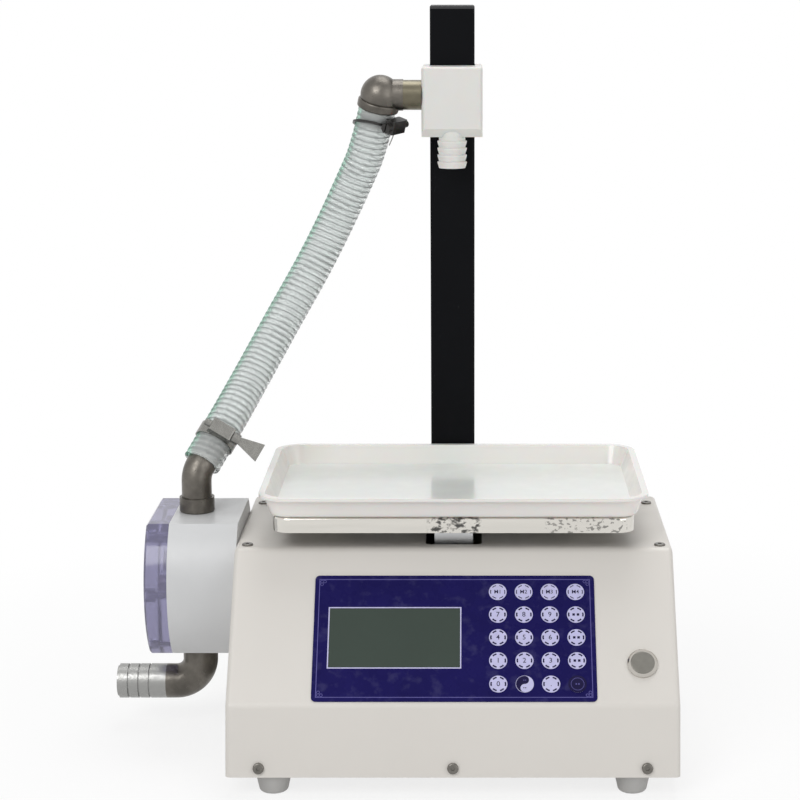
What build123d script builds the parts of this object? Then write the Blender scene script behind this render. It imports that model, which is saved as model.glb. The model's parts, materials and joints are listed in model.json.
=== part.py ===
from build123d import *
from math import acos, cos, hypot, pi, radians, sin, tan
import os

# Weighing filling machine for the bench. A gear pump on the left side of a sheet metal case draws
# liquid in through a hose barb and lifts it through a clear hose to a nozzle on a mast. The nozzle
# fills the bottle that stands in the tray on the weighing platter.
# Millimetres. +X is to the right of someone at the keys, +Y goes to the rear, +Z is up.
# The origin is on the table, under the middle of the case.

# Case
CASE_W = 340.0
CASE_D = 265.0
FOOT_H = 16.0
BAND_RISE = 52.5
BAND_RUN = 10.0
FASCIA_RISE = 98.5
FASCIA_RUN = 87.0
SHEET = 1.5
BEND_R = 9.0
CREASE_R = 9.0
CORNER_R = 4.0
LIP = 12.0
BASE_FLANGE = 12.0
FLOOR_VENT_L = 44.0
FLOOR_VENT_W = 4.0
FLOOR_VENT_PITCH = 12.0
FLOOR_VENTS = 6

# Screws of the case
CASE_SCREW_R = 1.95
CASE_SCREW_L = 7.0
CASE_SOCKET_R = 1.7
SCREW_PLAY = 0.15
FRONT_HEAD_R = 4.2
FRONT_HEAD_H = 2.6
FRONT_SCREW_UP = 6.9
FRONT_SCREW_INSET = 25.0
TOP_HEAD_R = 4.3
TOP_HEAD_H = 1.4
TOP_SCREW_INSET = 9.5
TOP_SCREW_FRONT = 8.0
TOP_SCREW_REAR = 24.0
REAR_SCREW_R = 1.5
REAR_SCREW_L = 6.0
REAR_HEAD_R = 3.2
REAR_HEAD_H = 2.0
REAR_SOCKET_R = 1.4
REAR_SCREW_INSET = 7.5
REAR_SCREW_END = 24.0

# Feet
FOOT_TOP_R = 14.0
FOOT_BOTTOM_R = 10.5
FOOT_INSET_X = 35.0
FOOT_INSET_Y = 17.5
FOOT_ROUND = 3.0
FOOT_SCREW_R = 2.0
FOOT_POCKET_R = 4.6
FOOT_POCKET = 6.0
FOOT_MOUTH_R = 5.2
FOOT_HEAD_H = 2.4
FOOT_HEAD_SUNK = 0.2

# Front panel
PANEL_W = 214.0
PANEL_H = 104.0
PANEL_X = 1.0
PANEL_UP = 55.2
PANEL_R = 3.5
OVERLAY_T = 0.8
WINDOW_T = 0.5
LCD_H = 49.0
LCD_INSET = 11.85
LCD_TO_KEYS = 21.85
LCD_LEDGE = 1.0
LCD_FRAME = 4.0
LCD_T = 4.0
LCD_GLASS_SINK = 1.0
LCD_BOARD_T = 1.6
LCD_BOARD_EDGE = 10.0
LCD_HOLE_INSET = 3.5
LCD_HOLE_R = 1.6
KEY_PITCH_X = 19.8
KEY_INSET_X = 7.8
KEY_INSET_UP = 7.2
KEY_COLUMNS = 4
KEY_ROWS = 5
KEY_R = 6.8
KEY_T = 0.4
TAIL_W = 34.0
TAIL_H = 4.0

# Push button
BUTTON_X = 142.7
BUTTON_UP = 33.9
BEZEL_R = 11.5
BEZEL_T = 2.6
BEZEL_CHAMFER = 1.2
BARREL_R = 10.0
BARREL_L = 24.0
CAP_R = 9.0
CAP_T = 4.0
CAP_PROUD = 0.4
CAP_ROUND = 0.5
BUTTON_TRAVEL = 1.5
STEM_R = 3.0
STEM_L = 8.0
STEM_BORE_L = 12.0
BUTTON_NUT_R = 14.0
BUTTON_NUT_T = 4.0

# Scale
PLATTER_W = 280.0
PLATTER_D = 182.0
PLATTER_SKIRT = 12.0
PLATTER_T = 1.2
PLATTER_R = 14.0
PLATTER_GAP = 14.0
PAD_H = 4.5
PAD_R = 7.0
SPIDER_T = 3.0
SPIDER_W = 196.0
SPIDER_D = 132.0
SPIDER_ARM = 22.0
SPIDER_HUB = 44.0
CELL_REAR_GAP = 35.5
CELL_W = 30.0
CELL_H = 22.0
CELL_DROP = 15.5
CELL_EYE_R = 7.0
CELL_EYE_PITCH = 23.8
CELL_END = 30.0
CELL_BOLT_R = 3.0
CELL_NUT_R = 5.5
CELL_NUT_T = 4.0
CELL_BOLT_END = 2.0
SPACER_H = 10.0
STAND_T = 3.0
STAND_W = 36.0
STAND_D = 44.0
STAND_TOE = 12.0
STAND_HEEL = 8.0
TOP_HOLE = 44.0
TOP_HOLE_R = 4.0
TOP_HOLE_FROM_CREASE = 10.5

# Tray
TRAY_W = 302.0
TRAY_D = 198.0
TRAY_H = 17.0
TRAY_FLARE = 6.0
TRAY_RIM = 3.0
TRAY_RIM_T = 2.4
TRAY_T = 2.0
TRAY_R = 20.0
TRAY_FOOT_R = 3.0
PLATTER_ROUND = 2.4

# Mast
MAST_X = -2.0
MAST_W = 37.0
MAST_D = 20.0
MAST_T = 2.0
MAST_R = 2.0
MAST_STANDOFF = 17.5
MAST_TOP = 578.0
MAST_BOTTOM = 26.0
MAST_CAP_T = 3.0
MAST_CAP_PLUG = 10.0
MAST_CAP_ROUND = 1.8
MAST_BOLT_R = 3.0
MAST_BOLT_HEAD_R = 5.2
MAST_BOLT_HEAD_H = 3.4
MAST_BOLT_SOCKET_R = 2.6
MAST_BOLT_END = 3.0
MAST_BOLT_ZS = (50.0, 130.0)
SPACER_BLOCK_H = 22.0
BACKING_T = 3.0

# Nozzle carriage
BLOCK_W = 50.0
BLOCK_H = 57.0
BLOCK_TOP = 529.0
BLOCK_FRONT = 34.0
BLOCK_BACK = 12.0
BLOCK_R = 4.0
BLOCK_ROUND = 2.0
BLOCK_CHAMFER = 7.0
NOZZLE_INSET = 12.0
NOZZLE_SHANK_R = 9.8
NOZZLE_BARB_R = 12.1
NOZZLE_NECK_R = 10.8
NOZZLE_BORE_R = 7.0
NOZZLE_DROP = 25.5
NOZZLE_BARBS = 4
SOCKET_DEPTH = 16.0
CHANNEL_R = 6.0
INLET_HEIGHT = 34.0
INLET_THREAD_L = 9.0
INLET_TAP_DEPTH = 10.0
KNOB_R = 16.0
KNOB_T = 14.0
KNOB_LOBE_R = 5.0
KNOB_ROUND = 1.6
KNOB_STANDOFF = 1.0
KNOB_STUD_R = 4.0
KNOB_LOBES = 6

# Pump
PUMP_Y = 35.0
PUMP_Z = 126.0
PUMP_R = 68.0
PUMP_FLAT = 53.0
BODY_T = 54.0
COVER_T = 18.0
MODULE = 2.25
TEETH = 18
PRESSURE_ANGLE = 20.0
GEAR_T = 33.8
GEAR_SIDE_PLAY = 0.1
TIP_PLAY = 0.15
BACKLASH = 0.16
SHAFT_R = 6.0
BUSH_R = 8.0
BUSH_L = 10.0
SEAL_R = 12.0
SEAL_L = 8.0
PORT_R = 9.0
COVER_BOLT_R = 3.0
COVER_BOLT_PCR = 58.0
COVER_BOLT_ANGLES = (0.0, 45.0, 135.0, 180.0, 225.0, 315.0)
COVER_BOLT_HEAD_R = 4.95
COVER_BOLT_HEAD_H = 6.0
COVER_BOLT_SOCKET_R = 2.9
COVER_BOLT_GRIP = 16.0
COVER_BOLT_TAP = 18.0
COVER_SINK_R = 5.4
COVER_SINK = 8.0
COVER_CHAMFER = 1.6
GROOVE_W = 2.6
GROOVE_DEPTH = 1.9
GROOVE_LAND = 3.0
PUMP_SCREW_Y = 46.0
PUMP_SCREW_Z = 30.0
PUMP_SCREW_R = 2.5
PUMP_SCREW_HEAD_R = 4.0
PUMP_SCREW_HEAD_H = 4.5
PUMP_SCREW_SOCKET_R = 2.2
PUMP_SCREW_GRIP = 13.0
PUMP_SCREW_TAP = 14.0
SEAL_PLAY = 1.0

# Motor
LANTERN_PLATE_T = 5.0
LANTERN_PLATE_H = 68.0
LANTERN_PLATE_EDGE = 8.0
LANTERN_PLATE_R = 4.0
LANTERN_L = 34.0
LANTERN_R = 30.0
LANTERN_TUBE_R = 24.0
LANTERN_WALL = 4.0
LANTERN_FLANGE_T = 4.0
LANTERN_WINDOW_W = 24.0
LANTERN_WINDOW_END = 5.0
MOTOR_R = 30.0
MOTOR_L = 74.0
MOTOR_CHAMFER = 3.0
MOTOR_BOSS_R = 9.0
MOTOR_BOSS_L = 4.0
MOTOR_BOLT_R = 2.1
MOTOR_BOLT_INSET = 9.0
MOTOR_SEAM_W = 1.2
MOTOR_SEAM_DEPTH = 0.8
MOTOR_SEAMS = (14.0, 56.0)
MOTOR_SHAFT_TAIL = 4.0
MOTOR_SHAFT_PLAY = 1.0
COUPLING_R = 11.0
COUPLING_L = 24.0
COUPLING_CHAMFER = 1.0

# Fittings
ELBOW_R = 12.0
COLLAR_R = 14.0
COLLAR_H = 12.0
COLLAR_ROUND = 1.2
SPIGOT_L = 10.0
SPIGOT_WALL = 2.0
OUTLET_RISE = 32.0
OUTLET_BEND_R = 18.0
OUTLET_LEG = 30.0
OUTLET_AIM = (0.44, 0.55, 0.71)
INLET_PIPE_R = 14.0
INLET_COLLAR_R = 17.5
INLET_COLLAR_H = 7.0
INLET_DROP = 37.0
INLET_BEND_R = 20.0
INLET_BORE_R = 10.5
BARB_R = 14.0
BARB_NECK_R = 12.4
BARB_L = 34.0
BARB_RINGS = 4
BARB_GROOVE_W = 1.4
INLET_REACH = 104.5
TOP_NIPPLE_L = 15.0
TOP_NIPPLE_R = 12.2
TOP_REACH = 33.6
TOP_BALL_R = 16.4
TOP_NECK_R = 12.8
TOP_COLLAR_R = 17.2
TOP_COLLAR_L = 7.0
TOP_COLLAR_ROUND = 1.4
TOP_BORE_R = 8.0
TOP_LEG = 12.0
TOP_STUB_R = 12.3
TOP_STUB_L = 14.0
TOP_AIM = (-0.22, 0.21, -0.95)

# Hose, from the pump's elbow to the nozzle's elbow. The points between the two ends are chosen by hand.
HOSE_R = 15.6
HOSE_BORE_R = 12.6
HOSE_START = 9.0
HOSE_FIRST_RUN = 37.0
HOSE_LAST_RUN = 34.0
HOSE_POINTS = [
    (-168.0, 92.0, 276.0),
    (-144.0, 118.0, 319.0),
    (-119.0, 136.0, 362.0),
    (-99.0, 143.5, 401.0),
    (-83.5, 144.0, 434.0),
]

# Hose clamps
BAND_W = 11.0
BAND_T = 0.8
HOUSING_L = 20.0
HOUSING_H = 8.0
HOUSING_R = 1.5
WORM_R = 2.9
WORM_L = 30.0
LOWER_CLAMP_AT = 34.0
WING_HUB_R = 4.5
WING_HUB_L = 6.0
WING_L = 19.6
WING_W = 16.0
WING_T = 1.8
SLOT_HEAD_R = 4.1
SLOT_HEAD_L = 5.0
SLOT_W = 1.0
SLOT_DEPTH = 1.4
UPPER_CLAMP_AT = 15.0
WIRE_T = 1.8
WIRE_TILT = 26.0
WIRE_HOUSING_AT = 7.5

# Rear panel
INLET_SOCKET_X = -105.0
INLET_SOCKET_Z = 62.0
SOCKET_FLANGE_W = 48.0
SOCKET_FLANGE_H = 24.0
SOCKET_FLANGE_T = 2.4
SOCKET_FLANGE_R = 3.0
SOCKET_FLANGE_ROUND = 0.8
SOCKET_BODY_W = 27.2
SOCKET_BODY_H = 19.6
SOCKET_BODY_L = 19.0
SOCKET_MOUTH_W = 24.0
SOCKET_MOUTH_H = 16.0
SOCKET_MOUTH_CUT = 4.0
SOCKET_MOUTH_DEPTH = 18.0
SOCKET_PIN_W = 2.0
SOCKET_PIN_H = 4.0
SOCKET_PIN_L = 9.0
SOCKET_PIN_PITCH = 7.0
SOCKET_PIN_RISE = 2.0
SOCKET_HOLE_R = 1.7
SOCKET_HOLE_X = 20.0
SWITCH_X = -62.0
SWITCH_Z = 62.0
SWITCH_FRAME_W = 15.0
SWITCH_FRAME_H = 21.0
SWITCH_FRAME_T = 2.0
SWITCH_FRAME_R = 1.2
SWITCH_FRAME_ROUND = 0.6
SWITCH_BODY_W = 12.8
SWITCH_BODY_H = 19.0
SWITCH_BODY_L = 15.0
SWITCH_POCKET = 12.0
ROCKER_W = 9.6
ROCKER_H = 15.6
ROCKER_RELIEF = 0.7
ROCKER_PROUD = 3.2
ROCKER_HEEL = 1.0
ROCKER_KEEL = 4.5
ROCKER_KEEL_W = 4.0
ROCKER_SWING = 18.0
PIVOT_R = 1.2
PIVOT_DEPTH = 1.0
PIVOT_L = 0.9
VENT_W = 34.0
VENT_H = 2.6
VENT_ROWS = 9
VENT_PITCH = 7.0
VENT_BRIDGE = 8.0
VENT_X = 95.0
VENT_Z = 80.0

# Control board, on the floor at the left
BOARD_W = 120.0
BOARD_D = 80.0
BOARD_T = 1.6
BOARD_HOLE_INSET = 6.0
BOARD_SIDE_GAP = 16.0
BOARD_FRONT_GAP = 30.5
STANDOFF_R = 3.2
STANDOFF_H = 10.0
CHIP_W = 22.0
CHIP_T = 2.4
DRIVER_W = 10.0
DRIVER_D = 18.0
DRIVER_PITCH = 16.0
HEADER_W = 70.0
HEADER_D = 9.0
TERMINAL_W = 16.0
TERMINAL_D = 40.0
CONNECTOR_H = 11.0
CAPACITOR_R = 5.0
CAPACITOR_H = 13.0
CAPACITOR_PITCH = 13.0

# Power supply, on the floor at the right
SUPPLY_W = 98.0
SUPPLY_D = 100.0
SUPPLY_H = 36.0
SUPPLY_SHEET = 1.5
SUPPLY_SIDE_GAP = 12.0
SUPPLY_REAR_GAP = 27.5
SUPPLY_STEP = 9.0
SUPPLY_SHELF = 17.0
SUPPLY_TERMINAL_W = 9.0
SUPPLY_TERMINAL_D = 13.0
SUPPLY_TERMINAL_H = 10.0
SUPPLY_TERMINAL_PITCH = 11.0
SUPPLY_TERMINALS = 7
SUPPLY_VENT_R = 3.0
SUPPLY_VENT_PITCH = 10.0
SUPPLY_VENT_DEPTH = 1.2
SUPPLY_VENT_COLUMNS = 7
SUPPLY_VENT_ROWS = 6

# Clearances
FIT = 0.05
GAP = 0.3
TOUCH = 0.02
THROUGH = 20.0

os.makedirs("parts", exist_ok=True)

# Places that follow from the sizes
FRONT_Y = -CASE_D / 2
REAR_Y = CASE_D / 2
SIDE_X = CASE_W / 2
BASE_Z = FOOT_H
BEND_Y = FRONT_Y + BAND_RUN
BEND_Z = BASE_Z + BAND_RISE
CREASE_Y = BEND_Y + FASCIA_RUN
TOP_Z = BEND_Z + FASCIA_RISE
FLOOR_Z = BASE_Z + SHEET
BAND_SLOPE = BAND_RUN / BAND_RISE
BAND_DEPTH = SHEET * hypot(BAND_RUN, BAND_RISE) / BAND_RISE
CASE_HOLE_R = CASE_SCREW_R + SCREW_PLAY
REAR_HOLE_R = REAR_SCREW_R + SCREW_PLAY
PUMP_HOLE_R = PUMP_SCREW_R + SCREW_PLAY

FASCIA = Plane(origin=(0, BEND_Y, BEND_Z), x_dir=(1, 0, 0), z_dir=(0, -FASCIA_RISE, FASCIA_RUN))
BAND = Plane(origin=(0, FRONT_Y, BASE_Z), x_dir=(1, 0, 0), z_dir=(0, -BAND_RISE, BAND_RUN))
REAR = Plane(origin=(0, REAR_Y, 0), x_dir=(-1, 0, 0), z_dir=(0, 1, 0))

KEYS_W = (KEY_COLUMNS - 1) * KEY_PITCH_X + 2 * KEY_R
KEYS_X = PANEL_X + PANEL_W / 2 - KEY_INSET_X - KEYS_W / 2
KEY_PITCH_UP = (PANEL_H - 2 * (KEY_INSET_UP + KEY_R)) / (KEY_ROWS - 1)
LCD_W = PANEL_W - LCD_INSET - LCD_TO_KEYS - KEYS_W - KEY_INSET_X
LCD_X = PANEL_X - PANEL_W / 2 + LCD_INSET + LCD_W / 2

PLATTER_UNDER = TOP_Z + PLATTER_GAP
PLATTER_TOP = PLATTER_UNDER + PLATTER_SKIRT
SPIDER_TOP = PLATTER_TOP - PLATTER_T - PAD_H
SPIDER_UNDER = SPIDER_TOP - SPIDER_T
CELL_TOP = TOP_Z - CELL_DROP
CELL_UNDER = CELL_TOP - CELL_H
CELL_FREE_Y = CREASE_Y + TOP_HOLE_FROM_CREASE + TOP_HOLE / 2
CELL_FIXED_Y = REAR_Y - CELL_REAR_GAP
CELL_SPAN = CELL_FIXED_Y - CELL_FREE_Y
TRAY_Y = (CELL_FREE_Y + CELL_FIXED_Y) / 2
STAND_TOP = CELL_UNDER - SPACER_H
RIM_TOP = PLATTER_TOP + TRAY_H

MAST_FRONT = REAR_Y + MAST_STANDOFF
MAST_Y = MAST_FRONT + MAST_D / 2
MAST_REAR = MAST_FRONT + MAST_D
BLOCK_FRONT_Y = MAST_FRONT - BLOCK_FRONT
BLOCK_REAR_Y = MAST_REAR + BLOCK_BACK
BLOCK_UNDER = BLOCK_TOP - BLOCK_H
BLOCK_LEFT = MAST_X - BLOCK_W / 2
NOZZLE_Y = BLOCK_FRONT_Y + NOZZLE_INSET
INLET_Z = BLOCK_UNDER + INLET_HEIGHT
KNOB_Z = BLOCK_UNDER + BLOCK_H / 2

BODY_X = -SIDE_X - BODY_T
COVER_X = BODY_X - COVER_T
CAVITY_T = GEAR_T + 2 * GEAR_SIDE_PLAY
PITCH_R = MODULE * TEETH / 2
TIP_R = PITCH_R + MODULE
ROOT_R = PITCH_R - 1.25 * MODULE
BORE_R = TIP_R + TIP_PLAY
GROOVE_R = BORE_R + GROOVE_LAND
DRIVE_Y = PUMP_Y + PITCH_R
DRIVEN_Y = PUMP_Y - PITCH_R
PORT_X = BODY_X + CAVITY_T / 2
PUMP_TOP = PUMP_Z + PUMP_FLAT
PUMP_UNDER = PUMP_Z - PUMP_FLAT
WALL_X = -SIDE_X + SHEET
LANTERN_END = WALL_X + LANTERN_PLATE_T + LANTERN_L

BOARD_X = BOARD_SIDE_GAP + BOARD_W / 2 - SIDE_X
BOARD_Y = FRONT_Y + BOARD_FRONT_GAP + BOARD_D / 2
BOARD_Z = FLOOR_Z + STANDOFF_H
SUPPLY_X = SIDE_X - SUPPLY_SIDE_GAP - SUPPLY_W / 2
SUPPLY_Y = REAR_Y - SUPPLY_REAR_GAP - SUPPLY_D / 2


def unit(v):
    """The vector of length one in v's direction."""
    return Vector(*v).normalized()


def rounded_screws(plane, points, head_r, head_h, shank_r, shank_l, socket_r=0.0):
    """Screws with domed heads that stand on a plane, with their shanks behind it."""
    with BuildPart() as screws:
        with BuildSketch(plane):
            with Locations(*points):
                Circle(head_r)
        extrude(amount=head_h)
        crowns = screws.faces().filter_by(lambda f: f.normal_at().dot(plane.z_dir) > 0.9)
        fillet(crowns.edges(), head_h * 0.45)
        with BuildSketch(plane):
            with Locations(*points):
                Circle(shank_r)
        extrude(amount=-shank_l)
        if socket_r > 0:
            with BuildSketch(plane.offset(head_h)):
                with Locations(*points):
                    RegularPolygon(socket_r, 6)
            extrude(amount=-head_h * 0.55, mode=Mode.SUBTRACT)
    return screws.part


def gear_blank(x0, y, turn):
    """A spur gear with involute teeth, its axis along X through (y, PUMP_Z), one tooth at turn degrees."""
    base_r = PITCH_R * cos(radians(PRESSURE_ANGLE))
    half_tooth = pi / (2 * TEETH) - BACKLASH / (2 * PITCH_R)
    involute = tan(radians(PRESSURE_ANGLE)) - radians(PRESSURE_ANGLE)

    def flank(r, side, middle):
        pressure = acos(base_r / r) if r > base_r else 0.0
        angle = middle + side * (half_tooth + involute - tan(pressure) + pressure)
        return (r * cos(angle), r * sin(angle))

    with BuildPart() as gear:
        with BuildSketch(Plane(origin=(x0, y, PUMP_Z), x_dir=(0, 1, 0), z_dir=(1, 0, 0))):
            with BuildLine():
                for tooth in range(TEETH):
                    middle = radians(turn) + 2 * pi * tooth / TEETH
                    following = middle + 2 * pi / TEETH
                    for side in (-1, 1):
                        Line(flank(ROOT_R, side, middle), flank(base_r, side, middle))
                        ThreePointArc(
                            flank(base_r, side, middle),
                            flank((base_r + TIP_R) / 2, side, middle),
                            flank(TIP_R, side, middle),
                        )
                    ThreePointArc(
                        flank(TIP_R, -1, middle),
                        (TIP_R * cos(middle), TIP_R * sin(middle)),
                        flank(TIP_R, 1, middle),
                    )
                    gullet = (middle + following) / 2
                    ThreePointArc(
                        flank(ROOT_R, 1, middle),
                        (ROOT_R * cos(gullet), ROOT_R * sin(gullet)),
                        flank(ROOT_R, -1, following),
                    )
            make_face()
            Circle(SHAFT_R + TOUCH, mode=Mode.SUBTRACT)
        extrude(amount=GEAR_T)
    return gear.part


def disc_with_flats():
    """The pump's outline: a disc with a flat on top and one below."""
    with BuildSketch() as outline:
        with Locations((PUMP_Y, PUMP_Z)):
            Circle(PUMP_R)
            Rectangle(2 * PUMP_R, 2 * PUMP_FLAT, mode=Mode.INTERSECT)
    return outline.sketch


# Folded shell of front, top and both sides
with BuildPart() as housing_shell:
    with BuildSketch(Plane.YZ) as shell_outline:
        with BuildLine():
            Polyline(
                (FRONT_Y, BASE_Z),
                (BEND_Y, BEND_Z),
                (CREASE_Y, TOP_Z),
                (REAR_Y, TOP_Z),
                (REAR_Y, BASE_Z),
                close=True,
            )
        make_face()
        fillet(shell_outline.vertices().sort_by(Axis.X)[1], BEND_R)
        fillet(shell_outline.vertices().filter_by_position(Axis.X, CREASE_Y - 1, CREASE_Y + 1), CREASE_R)
    extrude(amount=SIDE_X, both=True)
    side_edges = housing_shell.faces().filter_by(Axis.X).edges()
    fillet(
        side_edges.filter_by(lambda e: e.center().Z > BASE_Z + 1 and e.center().Y < REAR_Y - 1),
        CORNER_R,
    )
    with BuildSketch(Plane.YZ) as hollow_outline:
        with BuildLine():
            Polyline(
                (FRONT_Y - 3 * SHEET * BAND_SLOPE, BASE_Z - 3 * SHEET),
                (BEND_Y, BEND_Z),
                (CREASE_Y, TOP_Z),
                (REAR_Y - SHEET, TOP_Z),
                (REAR_Y - SHEET, BASE_Z - 3 * SHEET),
                close=True,
            )
        make_face()
        offset(amount=-SHEET, kind=Kind.INTERSECTION)
    extrude(amount=SIDE_X - SHEET, both=True, mode=Mode.SUBTRACT)
    with BuildSketch(REAR) as panel_seat:
        with Locations((0, (BASE_Z - SHEET + TOP_Z - SHEET) / 2)):
            Rectangle(2 * (SIDE_X - SHEET), TOP_Z - BASE_Z)
    extrude(amount=-SHEET, mode=Mode.SUBTRACT)
    with BuildSketch(REAR) as lip_opening:
        with Locations((0, (BASE_Z - LIP + TOP_Z - SHEET - LIP) / 2)):
            Rectangle(2 * (SIDE_X - SHEET - LIP), TOP_Z - SHEET - BASE_Z)
    extrude(amount=-3 * SHEET, mode=Mode.SUBTRACT)
    with BuildSketch(FASCIA) as front_openings:
        with Locations((LCD_X, PANEL_UP)):
            Rectangle(LCD_W - 2 * LCD_LEDGE, LCD_H - 2 * LCD_LEDGE)
        with Locations((BUTTON_X, BUTTON_UP)):
            Circle(BARREL_R + FIT)
        with Locations((KEYS_X, PANEL_UP + (KEY_ROWS * KEY_PITCH_UP - TAIL_H) / 2)):
            SlotOverall(TAIL_W, TAIL_H)
    extrude(amount=-3 * SHEET, mode=Mode.SUBTRACT)
    FRONT_SCREWS = [
        (x, FRONT_SCREW_UP) for x in (-SIDE_X + FRONT_SCREW_INSET, 0, SIDE_X - FRONT_SCREW_INSET)
    ]
    with BuildSketch(BAND):
        with Locations(*FRONT_SCREWS):
            Circle(CASE_HOLE_R)
    extrude(amount=-3 * SHEET, mode=Mode.SUBTRACT)
    TOP_SCREWS = [
        (x, y)
        for x in (-SIDE_X + TOP_SCREW_INSET, SIDE_X - TOP_SCREW_INSET)
        for y in (CREASE_Y + TOP_SCREW_FRONT, REAR_Y - TOP_SCREW_REAR)
    ]
    with BuildSketch(Plane.XY.offset(TOP_Z)):
        with Locations((0, CELL_FREE_Y)):
            RectangleRounded(TOP_HOLE, TOP_HOLE, TOP_HOLE_R)
        with Locations(*TOP_SCREWS):
            Circle(CASE_HOLE_R)
    extrude(amount=-2 * SHEET, mode=Mode.SUBTRACT)
    with BuildSketch(Plane.YZ.offset(-SIDE_X)):
        with Locations((DRIVE_Y, PUMP_Z)):
            Circle(SEAL_R + SEAL_PLAY)
        with Locations((PUMP_Y, PUMP_Z)):
            with GridLocations(2 * PUMP_SCREW_Y, 2 * PUMP_SCREW_Z, 2, 2):
                Circle(PUMP_HOLE_R)
    extrude(amount=SHEET, mode=Mode.SUBTRACT)
    REAR_SCREWS = [
        (x, z)
        for x in (-SIDE_X + REAR_SCREW_INSET, SIDE_X - REAR_SCREW_INSET)
        for z in (BASE_Z + REAR_SCREW_END, TOP_Z - REAR_SCREW_END)
    ]
    with BuildSketch(REAR.offset(-SHEET)):
        with Locations(*REAR_SCREWS):
            Circle(REAR_HOLE_R)
    extrude(amount=-SHEET, mode=Mode.SUBTRACT)
housing_shell.part.label = "housing_shell"
export_step(housing_shell.part, "parts/housing_shell.step")


def band_inside(z, depth):
    """Where the front band's wall lies at height z, depth behind its outer face."""
    return FRONT_Y + depth + (z - BASE_Z) * BAND_SLOPE


# Base plate, a shallow tray that closes the shell from below
with BuildPart() as base_plate:
    with BuildSketch(Plane.YZ):
        with BuildLine():
            Polyline(
                (band_inside(BASE_Z, BAND_DEPTH), BASE_Z),
                (band_inside(BASE_Z + BASE_FLANGE, BAND_DEPTH), BASE_Z + BASE_FLANGE),
                (REAR_Y - 2 * SHEET, BASE_Z + BASE_FLANGE),
                (REAR_Y - 2 * SHEET, BASE_Z),
                close=True,
            )
        make_face()
    extrude(amount=SIDE_X - SHEET, both=True)
    with BuildSketch(Plane.YZ):
        with BuildLine():
            Polyline(
                (band_inside(FLOOR_Z, 2 * BAND_DEPTH), FLOOR_Z),
                (band_inside(BASE_Z + 2 * BASE_FLANGE, 2 * BAND_DEPTH), BASE_Z + 2 * BASE_FLANGE),
                (REAR_Y - 3 * SHEET, BASE_Z + 2 * BASE_FLANGE),
                (REAR_Y - 3 * SHEET, FLOOR_Z),
                close=True,
            )
        make_face()
    extrude(amount=SIDE_X - 2 * SHEET, both=True, mode=Mode.SUBTRACT)
    FEET = [
        (x, y)
        for x in (-SIDE_X + FOOT_INSET_X, SIDE_X - FOOT_INSET_X)
        for y in (FRONT_Y + FOOT_INSET_Y, REAR_Y - FOOT_INSET_Y)
    ]
    with BuildSketch(Plane.XY.offset(BASE_Z)):
        with Locations(*FEET):
            Circle(FOOT_SCREW_R + FIT)
        with Locations((SUPPLY_X, SUPPLY_Y - SUPPLY_SHELF)):
            with GridLocations(FLOOR_VENT_PITCH, 0, FLOOR_VENTS, 1):
                SlotOverall(FLOOR_VENT_L, FLOOR_VENT_W, rotation=90)
    extrude(amount=SHEET, mode=Mode.SUBTRACT)
    with BuildSketch(BAND):
        with Locations(*FRONT_SCREWS):
            Circle(CASE_HOLE_R)
    extrude(amount=-4 * SHEET, mode=Mode.SUBTRACT)
base_plate.part.label = "base_plate"
export_step(base_plate.part, "parts/base_plate.step")

# Rear panel, screwed to the shell's lips
MAST_BOLTS = [(-MAST_X, z) for z in MAST_BOLT_ZS]
with BuildPart() as rear_panel:
    with BuildSketch(REAR):
        with Locations((0, (FLOOR_Z + TOP_Z - SHEET) / 2)):
            Rectangle(2 * (SIDE_X - SHEET), TOP_Z - SHEET - FLOOR_Z)
        with Locations(*REAR_SCREWS):
            Circle(REAR_HOLE_R, mode=Mode.SUBTRACT)
        with Locations((-INLET_SOCKET_X, INLET_SOCKET_Z)):
            Rectangle(SOCKET_BODY_W + 2 * FIT, SOCKET_BODY_H + 2 * FIT, mode=Mode.SUBTRACT)
        with Locations((-SWITCH_X, SWITCH_Z)):
            Rectangle(SWITCH_BODY_W + 2 * FIT, SWITCH_BODY_H + 2 * FIT, mode=Mode.SUBTRACT)
        with Locations(*MAST_BOLTS):
            Circle(MAST_BOLT_R + FIT, mode=Mode.SUBTRACT)
        with Locations((-VENT_X, VENT_Z)):
            with GridLocations(VENT_W + VENT_BRIDGE, VENT_PITCH, 2, VENT_ROWS):
                SlotOverall(VENT_W, VENT_H, mode=Mode.SUBTRACT)
    extrude(amount=-SHEET)
rear_panel.part.label = "rear_panel"
export_step(rear_panel.part, "parts/rear_panel.step")

with BuildPart() as rear_screws:
    add(
        rounded_screws(
            REAR, REAR_SCREWS, REAR_HEAD_R, REAR_HEAD_H, REAR_SCREW_R, REAR_SCREW_L, REAR_SOCKET_R
        )
    )
rear_screws.part.label = "rear_screws"
export_step(rear_screws.part, "parts/rear_screws.step")

with BuildPart() as front_screws:
    add(
        rounded_screws(
            BAND, FRONT_SCREWS, FRONT_HEAD_R, FRONT_HEAD_H, CASE_SCREW_R, CASE_SCREW_L, CASE_SOCKET_R
        )
    )
front_screws.part.label = "front_screws"
export_step(front_screws.part, "parts/front_screws.step")

with BuildPart() as top_screws:
    add(
        rounded_screws(
            Plane.XY.offset(TOP_Z),
            TOP_SCREWS,
            TOP_HEAD_R,
            TOP_HEAD_H,
            CASE_SCREW_R,
            CASE_SCREW_L,
            CASE_SOCKET_R,
        )
    )
top_screws.part.label = "top_screws"
export_step(top_screws.part, "parts/top_screws.step")

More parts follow.
